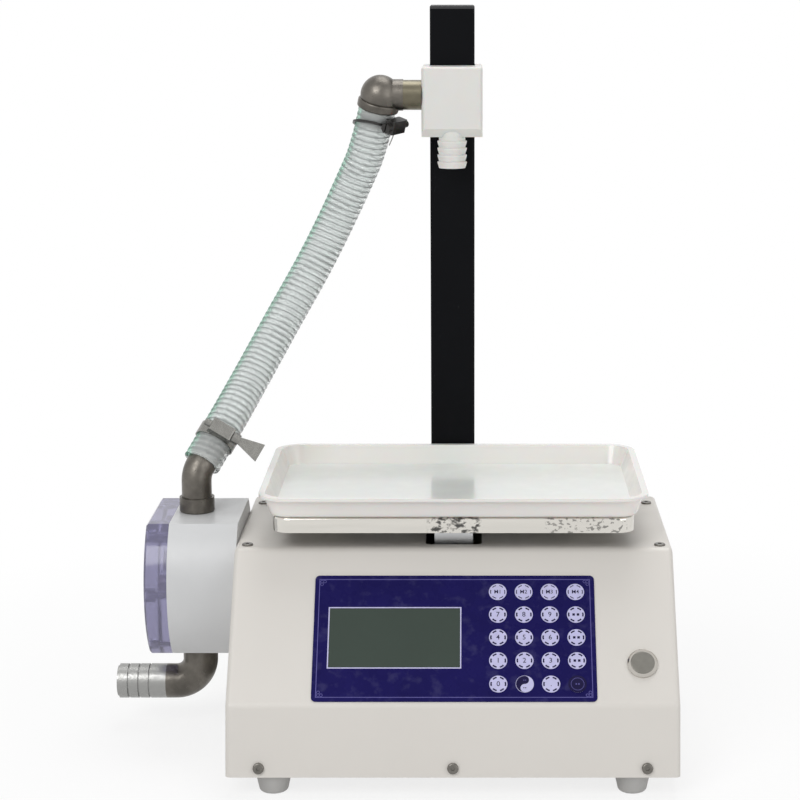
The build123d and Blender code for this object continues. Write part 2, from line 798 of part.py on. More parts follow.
# Rubber feet
with BuildPart() as rubber_feet:
    with Locations(*[(x, y, 0) for x, y in FEET]):
        Cone(FOOT_BOTTOM_R, FOOT_TOP_R, FOOT_H, align=(Align.CENTER, Align.CENTER, Align.MIN))
    fillet(rubber_feet.faces().filter_by(Axis.Z).edges().group_by(Axis.Z)[0], FOOT_ROUND)
    with BuildSketch(Plane.XY):
        with Locations(*FEET):
            Circle(FOOT_POCKET_R)
    extrude(amount=FOOT_POCKET, mode=Mode.SUBTRACT)
    # The pocket's wider mouth takes the peg of a bench plate, and stops short of the screw's head
    with BuildSketch(Plane.XY):
        with Locations(*FEET):
            Circle(FOOT_MOUTH_R)
    extrude(amount=FOOT_POCKET - FOOT_HEAD_H - FOOT_HEAD_SUNK, mode=Mode.SUBTRACT)
    with BuildSketch(Plane.XY):
        with Locations(*FEET):
            Circle(FOOT_SCREW_R + FIT)
    extrude(amount=FOOT_H, mode=Mode.SUBTRACT)
rubber_feet.part.label = "rubber_feet"
export_step(rubber_feet.part, "parts/rubber_feet.step")

FOOT_SCREW_PLANE = Plane(origin=(0, 0, FOOT_POCKET), x_dir=(1, 0, 0), z_dir=(0, 0, -1))
with BuildPart() as foot_screws:
    add(
        rounded_screws(
            FOOT_SCREW_PLANE,
            [(x, -y) for x, y in FEET],
            FRONT_HEAD_R,
            FOOT_HEAD_H,
            FOOT_SCREW_R,
            FOOT_H,
            CASE_SOCKET_R,
        )
    )
foot_screws.part.label = "foot_screws"
export_step(foot_screws.part, "parts/foot_screws.step")

# Membrane panel with embossed keys, and the display behind its window
with BuildPart() as panel_overlay:
    with BuildSketch(FASCIA):
        with Locations((PANEL_X, PANEL_UP)):
            RectangleRounded(PANEL_W, PANEL_H, PANEL_R)
        with Locations((LCD_X, PANEL_UP)):
            Rectangle(LCD_W, LCD_H, mode=Mode.SUBTRACT)
    extrude(amount=OVERLAY_T)
panel_overlay.part.label = "panel_overlay"
export_step(panel_overlay.part, "parts/panel_overlay.step")

with BuildPart() as panel_keys:
    with BuildSketch(FASCIA.offset(OVERLAY_T)):
        with Locations((KEYS_X, PANEL_UP)):
            with GridLocations(KEY_PITCH_X, KEY_PITCH_UP, KEY_COLUMNS, KEY_ROWS):
                Circle(KEY_R)
    extrude(amount=KEY_T)
panel_keys.part.label = "panel_keys"
export_step(panel_keys.part, "parts/panel_keys.step")

with BuildPart() as display_window:
    with BuildSketch(FASCIA):
        with Locations((LCD_X, PANEL_UP)):
            Rectangle(LCD_W - 2 * FIT, LCD_H - 2 * FIT)
    extrude(amount=WINDOW_T)
display_window.part.label = "display_window"
export_step(display_window.part, "parts/display_window.step")

with BuildPart() as display_module:
    with BuildSketch(FASCIA.offset(-SHEET)):
        with Locations((LCD_X, PANEL_UP)):
            Rectangle(LCD_W + 2 * LCD_FRAME, LCD_H + 2 * LCD_FRAME)
            Rectangle(LCD_W - LCD_FRAME, LCD_H - LCD_FRAME, mode=Mode.SUBTRACT)
    extrude(amount=-LCD_T)
    with BuildSketch(FASCIA.offset(-SHEET - LCD_GLASS_SINK)):
        with Locations((LCD_X, PANEL_UP)):
            Rectangle(LCD_W, LCD_H)
    extrude(amount=LCD_GLASS_SINK - LCD_T)
    board_w = LCD_W + 2 * LCD_BOARD_EDGE
    board_h = LCD_H + 2 * LCD_BOARD_EDGE
    with BuildSketch(FASCIA.offset(-SHEET - LCD_T)):
        with Locations((LCD_X, PANEL_UP)):
            Rectangle(board_w, board_h)
            with GridLocations(board_w - 2 * LCD_HOLE_INSET, board_h - 2 * LCD_HOLE_INSET, 2, 2):
                Circle(LCD_HOLE_R, mode=Mode.SUBTRACT)
    extrude(amount=-LCD_BOARD_T)
display_module.part.label = "display_module"
export_step(display_module.part, "parts/display_module.step")

# Push button
BUTTON = Plane(
    origin=FASCIA.from_local_coords((BUTTON_X, BUTTON_UP, 0)), x_dir=(1, 0, 0), z_dir=FASCIA.z_dir
)
CAP_FACE = BEZEL_T + CAP_PROUD
POCKET_FLOOR = CAP_FACE - CAP_T - BUTTON_TRAVEL - GAP
with BuildPart() as button_housing:
    with BuildSketch(BUTTON):
        Circle(BEZEL_R)
    extrude(amount=BEZEL_T)
    rims = button_housing.faces().filter_by(lambda f: f.normal_at().dot(BUTTON.z_dir) > 0.9)
    chamfer(rims.edges(), BEZEL_CHAMFER)
    with BuildSketch(BUTTON):
        Circle(BARREL_R)
    extrude(amount=-BARREL_L)
    with BuildSketch(BUTTON.offset(POCKET_FLOOR)):
        Circle(CAP_R + FIT)
    extrude(amount=THROUGH, mode=Mode.SUBTRACT)
    with BuildSketch(BUTTON.offset(POCKET_FLOOR)):
        Circle(STEM_R + FIT)
    extrude(amount=-STEM_BORE_L, mode=Mode.SUBTRACT)
button_housing.part.label = "button_housing"
export_step(button_housing.part, "parts/button_housing.step")

with BuildPart() as button_cap:
    with BuildSketch(BUTTON.offset(CAP_FACE)):
        Circle(CAP_R)
    extrude(amount=-CAP_T)
    crown = button_cap.faces().filter_by(lambda f: f.normal_at().dot(BUTTON.z_dir) > 0.9)
    fillet(crown.edges(), CAP_ROUND)
    with BuildSketch(BUTTON.offset(CAP_FACE - CAP_T)):
        Circle(STEM_R)
    extrude(amount=-STEM_L)
button_cap.part.label = "button_cap"
export_step(button_cap.part, "parts/button_cap.step")

with BuildPart() as button_nut:
    with BuildSketch(BUTTON.offset(-SHEET)):
        RegularPolygon(BUTTON_NUT_R, 6)
        Circle(BARREL_R + FIT, mode=Mode.SUBTRACT)
    extrude(amount=-BUTTON_NUT_T)
button_nut.part.label = "button_nut"
export_step(button_nut.part, "parts/button_nut.step")

# Load cell on its stand, with the spider that carries the platter
with BuildPart() as load_cell_stand:
    with BuildSketch(Plane.YZ):
        with Locations((CELL_FIXED_Y, (FLOOR_Z + STAND_TOP) / 2)):
            Rectangle(STAND_D, STAND_TOP - FLOOR_Z)
            with Locations((0, -STAND_T)):
                Rectangle(STAND_D - 2 * STAND_T, STAND_TOP - FLOOR_Z, mode=Mode.SUBTRACT)
        with Locations((CELL_FIXED_Y, FLOOR_Z + STAND_T / 2)):
            with Locations((-STAND_D / 2 - STAND_TOE, 0)):
                Rectangle(STAND_TOE + STAND_T, STAND_T, align=(Align.MIN, Align.CENTER))
            with Locations((STAND_D / 2 + STAND_HEEL, 0)):
                Rectangle(STAND_HEEL + STAND_T, STAND_T, align=(Align.MAX, Align.CENTER))
    extrude(amount=STAND_W / 2, both=True)
    with BuildSketch(Plane.XY.offset(STAND_TOP)):
        with Locations((0, CELL_FIXED_Y)):
            with GridLocations(0, CELL_END / 2, 1, 2):
                Circle(CELL_BOLT_R + FIT)
    extrude(amount=-STAND_T, mode=Mode.SUBTRACT)
load_cell_stand.part.label = "load_cell_stand"
export_step(load_cell_stand.part, "parts/load_cell_stand.step")

with BuildPart() as load_cell_spacer:
    with BuildSketch(Plane.XY.offset(STAND_TOP)):
        with Locations((0, CELL_FIXED_Y)):
            Rectangle(CELL_W, CELL_END)
            with GridLocations(0, CELL_END / 2, 1, 2):
                Circle(CELL_BOLT_R + FIT, mode=Mode.SUBTRACT)
    extrude(amount=SPACER_H)
load_cell_spacer.part.label = "load_cell_spacer"
export_step(load_cell_spacer.part, "parts/load_cell_spacer.step")

with BuildPart() as load_cell:
    with BuildSketch(Plane.YZ):
        with Locations((TRAY_Y, (CELL_TOP + CELL_UNDER) / 2)):
            Rectangle(CELL_SPAN + CELL_END, CELL_H)
            with GridLocations(CELL_EYE_PITCH, 0, 2, 1):
                Circle(CELL_EYE_R, mode=Mode.SUBTRACT)
            Rectangle(CELL_EYE_PITCH, CELL_EYE_R, mode=Mode.SUBTRACT)
    extrude(amount=CELL_W / 2, both=True)
    with BuildSketch(Plane.XY.offset(CELL_UNDER)):
        with Locations((0, TRAY_Y)):
            with GridLocations(0, CELL_SPAN, 1, 2):
                with GridLocations(0, CELL_END / 2, 1, 2):
                    Circle(CELL_BOLT_R + FIT)
    extrude(amount=CELL_H, mode=Mode.SUBTRACT)
load_cell.part.label = "load_cell"
export_step(load_cell.part, "parts/load_cell.step")

with BuildPart() as load_cell_riser:
    with BuildSketch(Plane.XY.offset(CELL_TOP)):
        with Locations((0, CELL_FREE_Y)):
            Rectangle(CELL_W, CELL_END)
            with GridLocations(0, CELL_END / 2, 1, 2):
                Circle(CELL_BOLT_R + FIT, mode=Mode.SUBTRACT)
    extrude(amount=SPIDER_UNDER - CELL_TOP)
load_cell_riser.part.label = "load_cell_riser"
export_step(load_cell_riser.part, "parts/load_cell_riser.step")

with BuildPart() as load_cell_bolts:
    with BuildSketch(Plane.XY.offset(SPIDER_TOP)):
        with Locations((0, CELL_FREE_Y)):
            with GridLocations(0, CELL_END / 2, 1, 2):
                Circle(CELL_BOLT_R)
    extrude(amount=CELL_UNDER - SPIDER_TOP)
    with BuildSketch(Plane.XY.offset(CELL_UNDER)):
        with Locations((0, CELL_FREE_Y)):
            with GridLocations(0, CELL_END / 2, 1, 2):
                RegularPolygon(CELL_NUT_R, 6)
    extrude(amount=-CELL_NUT_T)
    with BuildSketch(Plane.XY.offset(CELL_TOP)):
        with Locations((0, CELL_FIXED_Y)):
            with GridLocations(0, CELL_END / 2, 1, 2):
                RegularPolygon(CELL_NUT_R, 6)
    extrude(amount=CELL_NUT_T)
    with BuildSketch(Plane.XY.offset(CELL_TOP)):
        with Locations((0, CELL_FIXED_Y)):
            with GridLocations(0, CELL_END / 2, 1, 2):
                Circle(CELL_BOLT_R)
    extrude(amount=STAND_TOP - STAND_T - CELL_BOLT_END - CELL_TOP)
load_cell_bolts.part.label = "load_cell_bolts"
export_step(load_cell_bolts.part, "parts/load_cell_bolts.step")

with BuildPart() as platter_spider:
    with BuildSketch(Plane.XY.offset(SPIDER_UNDER)):
        with Locations((0, TRAY_Y)):
            for side in (-1, 1):
                with Locations((0, side * (SPIDER_D - SPIDER_ARM) / 2)):
                    SlotOverall(SPIDER_W, SPIDER_ARM)
            Rectangle(SPIDER_HUB, SPIDER_D - SPIDER_ARM)
        with Locations((0, CELL_FREE_Y)):
            with GridLocations(0, CELL_END / 2, 1, 2):
                Circle(CELL_BOLT_R + FIT, mode=Mode.SUBTRACT)
    extrude(amount=SPIDER_T)
platter_spider.part.label = "platter_spider"
export_step(platter_spider.part, "parts/platter_spider.step")

with BuildPart() as platter_pads:
    with BuildSketch(Plane.XY.offset(SPIDER_TOP)):
        with Locations((0, TRAY_Y)):
            with GridLocations(SPIDER_W - SPIDER_ARM, SPIDER_D - SPIDER_ARM, 2, 2):
                Circle(PAD_R)
    extrude(amount=PAD_H)
platter_pads.part.label = "platter_pads"
export_step(platter_pads.part, "parts/platter_pads.step")

# Weighing platter, a folded pan turned upside down
with BuildPart() as weighing_platter:
    with BuildSketch(Plane.XY.offset(PLATTER_UNDER)):
        with Locations((0, TRAY_Y)):
            RectangleRounded(PLATTER_W, PLATTER_D, PLATTER_R)
    extrude(amount=PLATTER_SKIRT)
    platter_top = weighing_platter.faces().sort_by(Axis.Z)[-1]
    fillet(platter_top.edges(), PLATTER_ROUND)
    with BuildSketch(Plane.XY.offset(PLATTER_UNDER)):
        with Locations((0, TRAY_Y)):
            RectangleRounded(
                PLATTER_W - 2 * PLATTER_T, PLATTER_D - 2 * PLATTER_T, PLATTER_R - PLATTER_T
            )
    extrude(amount=PLATTER_SKIRT - PLATTER_T, mode=Mode.SUBTRACT)
weighing_platter.part.label = "weighing_platter"
export_step(weighing_platter.part, "parts/weighing_platter.step")

# Tray, a flared pan with a flat rim
with BuildPart() as product_tray:
    with BuildSketch(Plane.XY.offset(PLATTER_TOP)):
        with Locations((0, TRAY_Y)):
            RectangleRounded(
                TRAY_W - 2 * (TRAY_FLARE + TRAY_RIM),
                TRAY_D - 2 * (TRAY_FLARE + TRAY_RIM),
                TRAY_R - TRAY_FLARE,
            )
    with BuildSketch(Plane.XY.offset(RIM_TOP)):
        with Locations((0, TRAY_Y)):
            RectangleRounded(TRAY_W - 2 * TRAY_RIM, TRAY_D - 2 * TRAY_RIM, TRAY_R)
    loft()
    fillet(product_tray.faces().sort_by(Axis.Z)[0].edges(), TRAY_FOOT_R)
    with BuildSketch(Plane.XY.offset(RIM_TOP - TRAY_RIM_T)):
        with Locations((0, TRAY_Y)):
            RectangleRounded(TRAY_W, TRAY_D, TRAY_R + TRAY_RIM)
    extrude(amount=TRAY_RIM_T)
    with BuildSketch(Plane.XY.offset(PLATTER_TOP + TRAY_T)):
        with Locations((0, TRAY_Y)):
            RectangleRounded(
                TRAY_W - 2 * (TRAY_FLARE + TRAY_RIM + TRAY_T),
                TRAY_D - 2 * (TRAY_FLARE + TRAY_RIM + TRAY_T),
                TRAY_R - TRAY_FLARE - TRAY_T,
            )
    with BuildSketch(Plane.XY.offset(RIM_TOP)):
        with Locations((0, TRAY_Y)):
            RectangleRounded(
                TRAY_W - 2 * (TRAY_RIM + TRAY_T), TRAY_D - 2 * (TRAY_RIM + TRAY_T), TRAY_R - TRAY_T
            )
    loft(mode=Mode.SUBTRACT)
product_tray.part.label = "product_tray"
export_step(product_tray.part, "parts/product_tray.step")

# Pump body, bored for the two gears
with BuildPart() as pump_body:
    with BuildSketch(Plane.YZ.offset(BODY_X)):
        add(disc_with_flats())
    extrude(amount=BODY_T)
    with BuildSketch(Plane.YZ.offset(BODY_X)):
        with Locations((DRIVE_Y, PUMP_Z), (DRIVEN_Y, PUMP_Z)):
            Circle(BORE_R)
    extrude(amount=CAVITY_T, mode=Mode.SUBTRACT)
    with BuildSketch(Plane.XY.offset(PUMP_TOP)):
        with Locations((PORT_X, PUMP_Y)):
            Circle(PORT_R)
    extrude(amount=PUMP_Z - PUMP_TOP, mode=Mode.SUBTRACT)
    with BuildSketch(Plane.XY.offset(PUMP_UNDER)):
        with Locations((PORT_X, PUMP_Y)):
            Circle(PORT_R)
    extrude(amount=PUMP_Z - PUMP_UNDER, mode=Mode.SUBTRACT)
    with BuildSketch(Plane.YZ.offset(BODY_X + CAVITY_T)):
        with Locations((DRIVE_Y, PUMP_Z), (DRIVEN_Y, PUMP_Z)):
            Circle(BUSH_R + TOUCH)
    extrude(amount=BUSH_L, mode=Mode.SUBTRACT)
    with BuildSketch(Plane.YZ.offset(-SIDE_X)):
        with Locations((DRIVE_Y, PUMP_Z)):
            Circle(SEAL_R + TOUCH)
    extrude(amount=-SEAL_L, mode=Mode.SUBTRACT)
    with BuildSketch(Plane.YZ.offset(-SIDE_X)):
        with Locations((DRIVE_Y, PUMP_Z)):
            Circle(SHAFT_R + GAP)
        with Locations((PUMP_Y, PUMP_Z)):
            with GridLocations(2 * PUMP_SCREW_Y, 2 * PUMP_SCREW_Z, 2, 2):
                Circle(PUMP_SCREW_R + FIT)
    extrude(amount=-PUMP_SCREW_TAP, mode=Mode.SUBTRACT)
    with BuildSketch(Plane.YZ.offset(BODY_X)):
        with Locations((PUMP_Y, PUMP_Z)):
            SlotCenterToCenter(2 * PITCH_R, 2 * (GROOVE_R + GROOVE_W))
            SlotCenterToCenter(2 * PITCH_R, 2 * GROOVE_R, mode=Mode.SUBTRACT)
    extrude(amount=GROOVE_DEPTH, mode=Mode.SUBTRACT)
    with BuildSketch(Plane.YZ.offset(BODY_X)):
        with Locations((PUMP_Y, PUMP_Z)):
            for angle in COVER_BOLT_ANGLES:
                with PolarLocations(COVER_BOLT_PCR, 1, start_angle=angle):
                    Circle(COVER_BOLT_R + FIT)
    extrude(amount=COVER_BOLT_TAP, mode=Mode.SUBTRACT)
pump_body.part.label = "pump_body"
export_step(pump_body.part, "parts/pump_body.step")

# Clear cover with sunk bolt heads
with BuildPart() as pump_cover:
    with BuildSketch(Plane.YZ.offset(COVER_X)):
        add(disc_with_flats())
    extrude(amount=COVER_T)
    chamfer(pump_cover.faces().sort_by(Axis.X)[0].edges(), COVER_CHAMFER)
    with BuildSketch(Plane.YZ.offset(COVER_X)):
        with Locations((PUMP_Y, PUMP_Z)):
            for angle in COVER_BOLT_ANGLES:
                with PolarLocations(COVER_BOLT_PCR, 1, start_angle=angle):
                    Circle(COVER_BOLT_R + FIT)
    extrude(amount=COVER_T, mode=Mode.SUBTRACT)
    with BuildSketch(Plane.YZ.offset(COVER_X)):
        with Locations((PUMP_Y, PUMP_Z)):
            for angle in COVER_BOLT_ANGLES:
                with PolarLocations(COVER_BOLT_PCR, 1, start_angle=angle):
                    Circle(COVER_SINK_R)
    extrude(amount=COVER_SINK, mode=Mode.SUBTRACT)
    with BuildSketch(Plane.YZ.offset(BODY_X)):
        with Locations((DRIVE_Y, PUMP_Z), (DRIVEN_Y, PUMP_Z)):
            Circle(BUSH_R + TOUCH)
    extrude(amount=-BUSH_L, mode=Mode.SUBTRACT)
pump_cover.part.label = "pump_cover"
export_step(pump_cover.part, "parts/pump_cover.step")

with BuildPart() as cover_seal:
    with BuildSketch(Plane.YZ.offset(BODY_X)):
        with Locations((PUMP_Y, PUMP_Z)):
            SlotCenterToCenter(2 * PITCH_R, 2 * (GROOVE_R + GROOVE_W - FIT))
            SlotCenterToCenter(2 * PITCH_R, 2 * (GROOVE_R + FIT), mode=Mode.SUBTRACT)
    extrude(amount=GROOVE_DEPTH)
cover_seal.part.label = "cover_seal"
export_step(cover_seal.part, "parts/cover_seal.step")

COVER_BOLT_PLANE = Plane(
    origin=(COVER_X + COVER_SINK, PUMP_Y, PUMP_Z), x_dir=(0, -1, 0), z_dir=(-1, 0, 0)
)
with BuildPart() as cover_bolts:
    bolt_places = [
        (COVER_BOLT_PCR * cos(radians(a)), COVER_BOLT_PCR * sin(radians(a)))
        for a in COVER_BOLT_ANGLES
    ]
    add(
        rounded_screws(
            COVER_BOLT_PLANE,
            bolt_places,
            COVER_BOLT_HEAD_R,
            COVER_BOLT_HEAD_H,
            COVER_BOLT_R,
            COVER_T - COVER_SINK + COVER_BOLT_GRIP,
            COVER_BOLT_SOCKET_R,
        )
    )
cover_bolts.part.label = "cover_bolts"
export_step(cover_bolts.part, "parts/cover_bolts.step")

# Bushes, two in the cover and two in the body
with BuildPart() as shaft_bushes:
    for x0 in (BODY_X - BUSH_L, BODY_X + CAVITY_T):
        with BuildSketch(Plane.YZ.offset(x0)):
            with Locations((DRIVE_Y, PUMP_Z), (DRIVEN_Y, PUMP_Z)):
                Circle(BUSH_R)
                Circle(SHAFT_R + FIT, mode=Mode.SUBTRACT)
        extrude(amount=BUSH_L)
shaft_bushes.part.label = "shaft_bushes"
export_step(shaft_bushes.part, "parts/shaft_bushes.step")

with BuildPart() as shaft_seal:
    with BuildSketch(Plane.YZ.offset(-SIDE_X - SEAL_L)):
        with Locations((DRIVE_Y, PUMP_Z)):
            Circle(SEAL_R)
            Circle(SHAFT_R + FIT, mode=Mode.SUBTRACT)
    extrude(amount=SEAL_L)
shaft_seal.part.label = "shaft_seal"
export_step(shaft_seal.part, "parts/shaft_seal.step")

# Gears and their shafts
COUPLING_X = WALL_X + LANTERN_PLATE_T + (LANTERN_L - COUPLING_L) / 2
with BuildPart() as drive_gear:
    add(gear_blank(BODY_X + GEAR_SIDE_PLAY, DRIVE_Y, 180.0))
drive_gear.part.label = "drive_gear"
export_step(drive_gear.part, "parts/drive_gear.step")

with BuildPart() as driven_gear:
    add(gear_blank(BODY_X + GEAR_SIDE_PLAY, DRIVEN_Y, 180.0 / TEETH))
driven_gear.part.label = "driven_gear"
export_step(driven_gear.part, "parts/driven_gear.step")

with BuildPart() as drive_shaft:
    with BuildSketch(Plane.YZ.offset(BODY_X - BUSH_L + GAP)):
        with Locations((DRIVE_Y, PUMP_Z)):
            Circle(SHAFT_R)
    extrude(amount=COUPLING_X + COUPLING_L / 2 - TOUCH - (BODY_X - BUSH_L + GAP))
drive_shaft.part.label = "drive_shaft"
export_step(drive_shaft.part, "parts/drive_shaft.step")

with BuildPart() as driven_shaft:
    with BuildSketch(Plane.YZ.offset(BODY_X - BUSH_L + GAP)):
        with Locations((DRIVEN_Y, PUMP_Z)):
            Circle(SHAFT_R)
    extrude(amount=CAVITY_T + 2 * BUSH_L - 2 * GAP)
driven_shaft.part.label = "driven_shaft"
export_step(driven_shaft.part, "parts/driven_shaft.step")

with BuildPart() as shaft_coupling:
    with BuildSketch(Plane.YZ.offset(COUPLING_X)):
        with Locations((DRIVE_Y, PUMP_Z)):
            Circle(COUPLING_R)
            Circle(SHAFT_R + TOUCH, mode=Mode.SUBTRACT)
    extrude(amount=COUPLING_L)
    rims = shaft_coupling.edges().filter_by(GeomType.CIRCLE)
    chamfer(rims.filter_by(lambda e: e.radius > COUPLING_R - TOUCH), COUPLING_CHAMFER)
shaft_coupling.part.label = "shaft_coupling"
export_step(shaft_coupling.part, "parts/shaft_coupling.step")

with BuildPart() as motor_shaft:
    with BuildSketch(Plane.YZ.offset(COUPLING_X + COUPLING_L / 2 + TOUCH)):
        with Locations((DRIVE_Y, PUMP_Z)):
            Circle(SHAFT_R)
    extrude(amount=LANTERN_END - COUPLING_X - COUPLING_L / 2 + MOTOR_SHAFT_TAIL)
motor_shaft.part.label = "motor_shaft"
export_step(motor_shaft.part, "parts/motor_shaft.step")

# Lantern that spaces the motor off the side wall, and carries the pump's screws
with BuildPart() as motor_lantern:
    with BuildSketch(Plane.YZ.offset(WALL_X)):
        with Locations((PUMP_Y, PUMP_Z)):
            RectangleRounded(
                2 * (PUMP_SCREW_Y + LANTERN_PLATE_EDGE), LANTERN_PLATE_H, LANTERN_PLATE_R
            )
        with Locations((DRIVE_Y, PUMP_Z)):
            Circle(SEAL_R + SEAL_PLAY, mode=Mode.SUBTRACT)
        with Locations((PUMP_Y, PUMP_Z)):
            with GridLocations(2 * PUMP_SCREW_Y, 2 * PUMP_SCREW_Z, 2, 2):
                Circle(PUMP_HOLE_R, mode=Mode.SUBTRACT)
    extrude(amount=LANTERN_PLATE_T)
    with BuildSketch(Plane.YZ.offset(WALL_X + LANTERN_PLATE_T)):
        with Locations((DRIVE_Y, PUMP_Z)):
            Circle(LANTERN_TUBE_R)
            Circle(LANTERN_TUBE_R - LANTERN_WALL, mode=Mode.SUBTRACT)
    extrude(amount=LANTERN_L - LANTERN_FLANGE_T)
    with BuildSketch(Plane.YZ.offset(LANTERN_END - LANTERN_FLANGE_T)):
        with Locations((DRIVE_Y, PUMP_Z)):
            Circle(LANTERN_R)
            Circle(SHAFT_R + MOTOR_SHAFT_PLAY, mode=Mode.SUBTRACT)
            with PolarLocations(LANTERN_R - MOTOR_BOLT_INSET, 4, start_angle=45):
                Circle(MOTOR_BOLT_R, mode=Mode.SUBTRACT)
    extrude(amount=LANTERN_FLANGE_T)
    with BuildSketch(Plane.XY.offset(PUMP_Z)):
        with Locations(((WALL_X + LANTERN_PLATE_T + LANTERN_END - LANTERN_FLANGE_T) / 2, DRIVE_Y)):
            Rectangle(LANTERN_L - LANTERN_FLANGE_T - 2 * LANTERN_WINDOW_END, LANTERN_WINDOW_W)
    extrude(amount=LANTERN_R, both=True, mode=Mode.SUBTRACT)
motor_lantern.part.label = "motor_lantern"
export_step(motor_lantern.part, "parts/motor_lantern.step")

with BuildPart() as motor:
    with BuildSketch(Plane.YZ.offset(LANTERN_END)):
        with Locations((DRIVE_Y, PUMP_Z)):
            Circle(MOTOR_R)
    extrude(amount=MOTOR_L)
    chamfer(motor.faces().sort_by(Axis.X)[-1].edges(), MOTOR_CHAMFER)
    with BuildSketch(Plane.YZ.offset(LANTERN_END)):
        with Locations((DRIVE_Y, PUMP_Z)):
            Circle(SHAFT_R + MOTOR_SHAFT_PLAY)
    extrude(amount=MOTOR_SHAFT_TAIL + MOTOR_SHAFT_PLAY, mode=Mode.SUBTRACT)
    for seam in MOTOR_SEAMS:
        with BuildSketch(Plane.YZ.offset(LANTERN_END + seam)):
            with Locations((DRIVE_Y, PUMP_Z)):
                Circle(MOTOR_R + MOTOR_SEAM_W)
                Circle(MOTOR_R - MOTOR_SEAM_DEPTH, mode=Mode.SUBTRACT)
        extrude(amount=MOTOR_SEAM_W, mode=Mode.SUBTRACT)
    with BuildSketch(Plane.YZ.offset(LANTERN_END + MOTOR_L)):
        with Locations((DRIVE_Y, PUMP_Z)):
            Circle(MOTOR_BOSS_R)
    extrude(amount=MOTOR_BOSS_L)
motor.part.label = "motor"
export_step(motor.part, "parts/motor.step")

PUMP_SCREW_PLANE = Plane(
    origin=(WALL_X + LANTERN_PLATE_T, PUMP_Y, PUMP_Z), x_dir=(0, 1, 0), z_dir=(1, 0, 0)
)
with BuildPart() as pump_screws:
    add(
        rounded_screws(
            PUMP_SCREW_PLANE,
            [(y, z) for y in (-PUMP_SCREW_Y, PUMP_SCREW_Y) for z in (-PUMP_SCREW_Z, PUMP_SCREW_Z)],
            PUMP_SCREW_HEAD_R,
            PUMP_SCREW_HEAD_H,
            PUMP_SCREW_R,
            LANTERN_PLATE_T + SHEET + PUMP_SCREW_GRIP,
            PUMP_SCREW_SOCKET_R,
        )
    )
pump_screws.part.label = "pump_screws"
export_step(pump_screws.part, "parts/pump_screws.step")

# Outlet elbow on top of the pump
OUTLET_BEND = Vector(PORT_X, PUMP_Y, PUMP_TOP + OUTLET_RISE)
OUTLET_DIR = unit(OUTLET_AIM)
OUTLET_END = OUTLET_BEND + OUTLET_DIR * OUTLET_LEG
with BuildPart() as outlet_elbow:
    with BuildLine() as outlet_route:
        FilletPolyline(
            (PORT_X, PUMP_Y, PUMP_TOP), OUTLET_BEND, OUTLET_END,
            radius=OUTLET_BEND_R,
        )
    with BuildSketch(Plane.XY.offset(PUMP_TOP)):
        with Locations((PORT_X, PUMP_Y)):
            Circle(ELBOW_R)
    sweep(path=outlet_route.wires()[0])
    with BuildSketch(Plane.XY.offset(PUMP_TOP)):
        with Locations((PORT_X, PUMP_Y)):
            Circle(COLLAR_R)
    extrude(amount=COLLAR_H)
    fillet(outlet_elbow.faces().filter_by(Axis.Z).edges().group_by(Axis.Z)[0], COLLAR_ROUND)
    with BuildSketch(Plane.XY.offset(PUMP_TOP)):
        with Locations((PORT_X, PUMP_Y)):
            Circle(PORT_R - FIT)
    extrude(amount=-SPIGOT_L)
    with BuildLine() as outlet_bore:
        FilletPolyline(
            (PORT_X, PUMP_Y, PUMP_TOP - SPIGOT_L), OUTLET_BEND, OUTLET_END,
            radius=OUTLET_BEND_R,
        )
    with BuildSketch(Plane.XY.offset(PUMP_TOP - SPIGOT_L)):
        with Locations((PORT_X, PUMP_Y)):
            Circle(PORT_R - SPIGOT_WALL)
    sweep(path=outlet_bore.wires()[0], mode=Mode.SUBTRACT)
outlet_elbow.part.label = "outlet_elbow"
export_step(outlet_elbow.part, "parts/outlet_elbow.step")

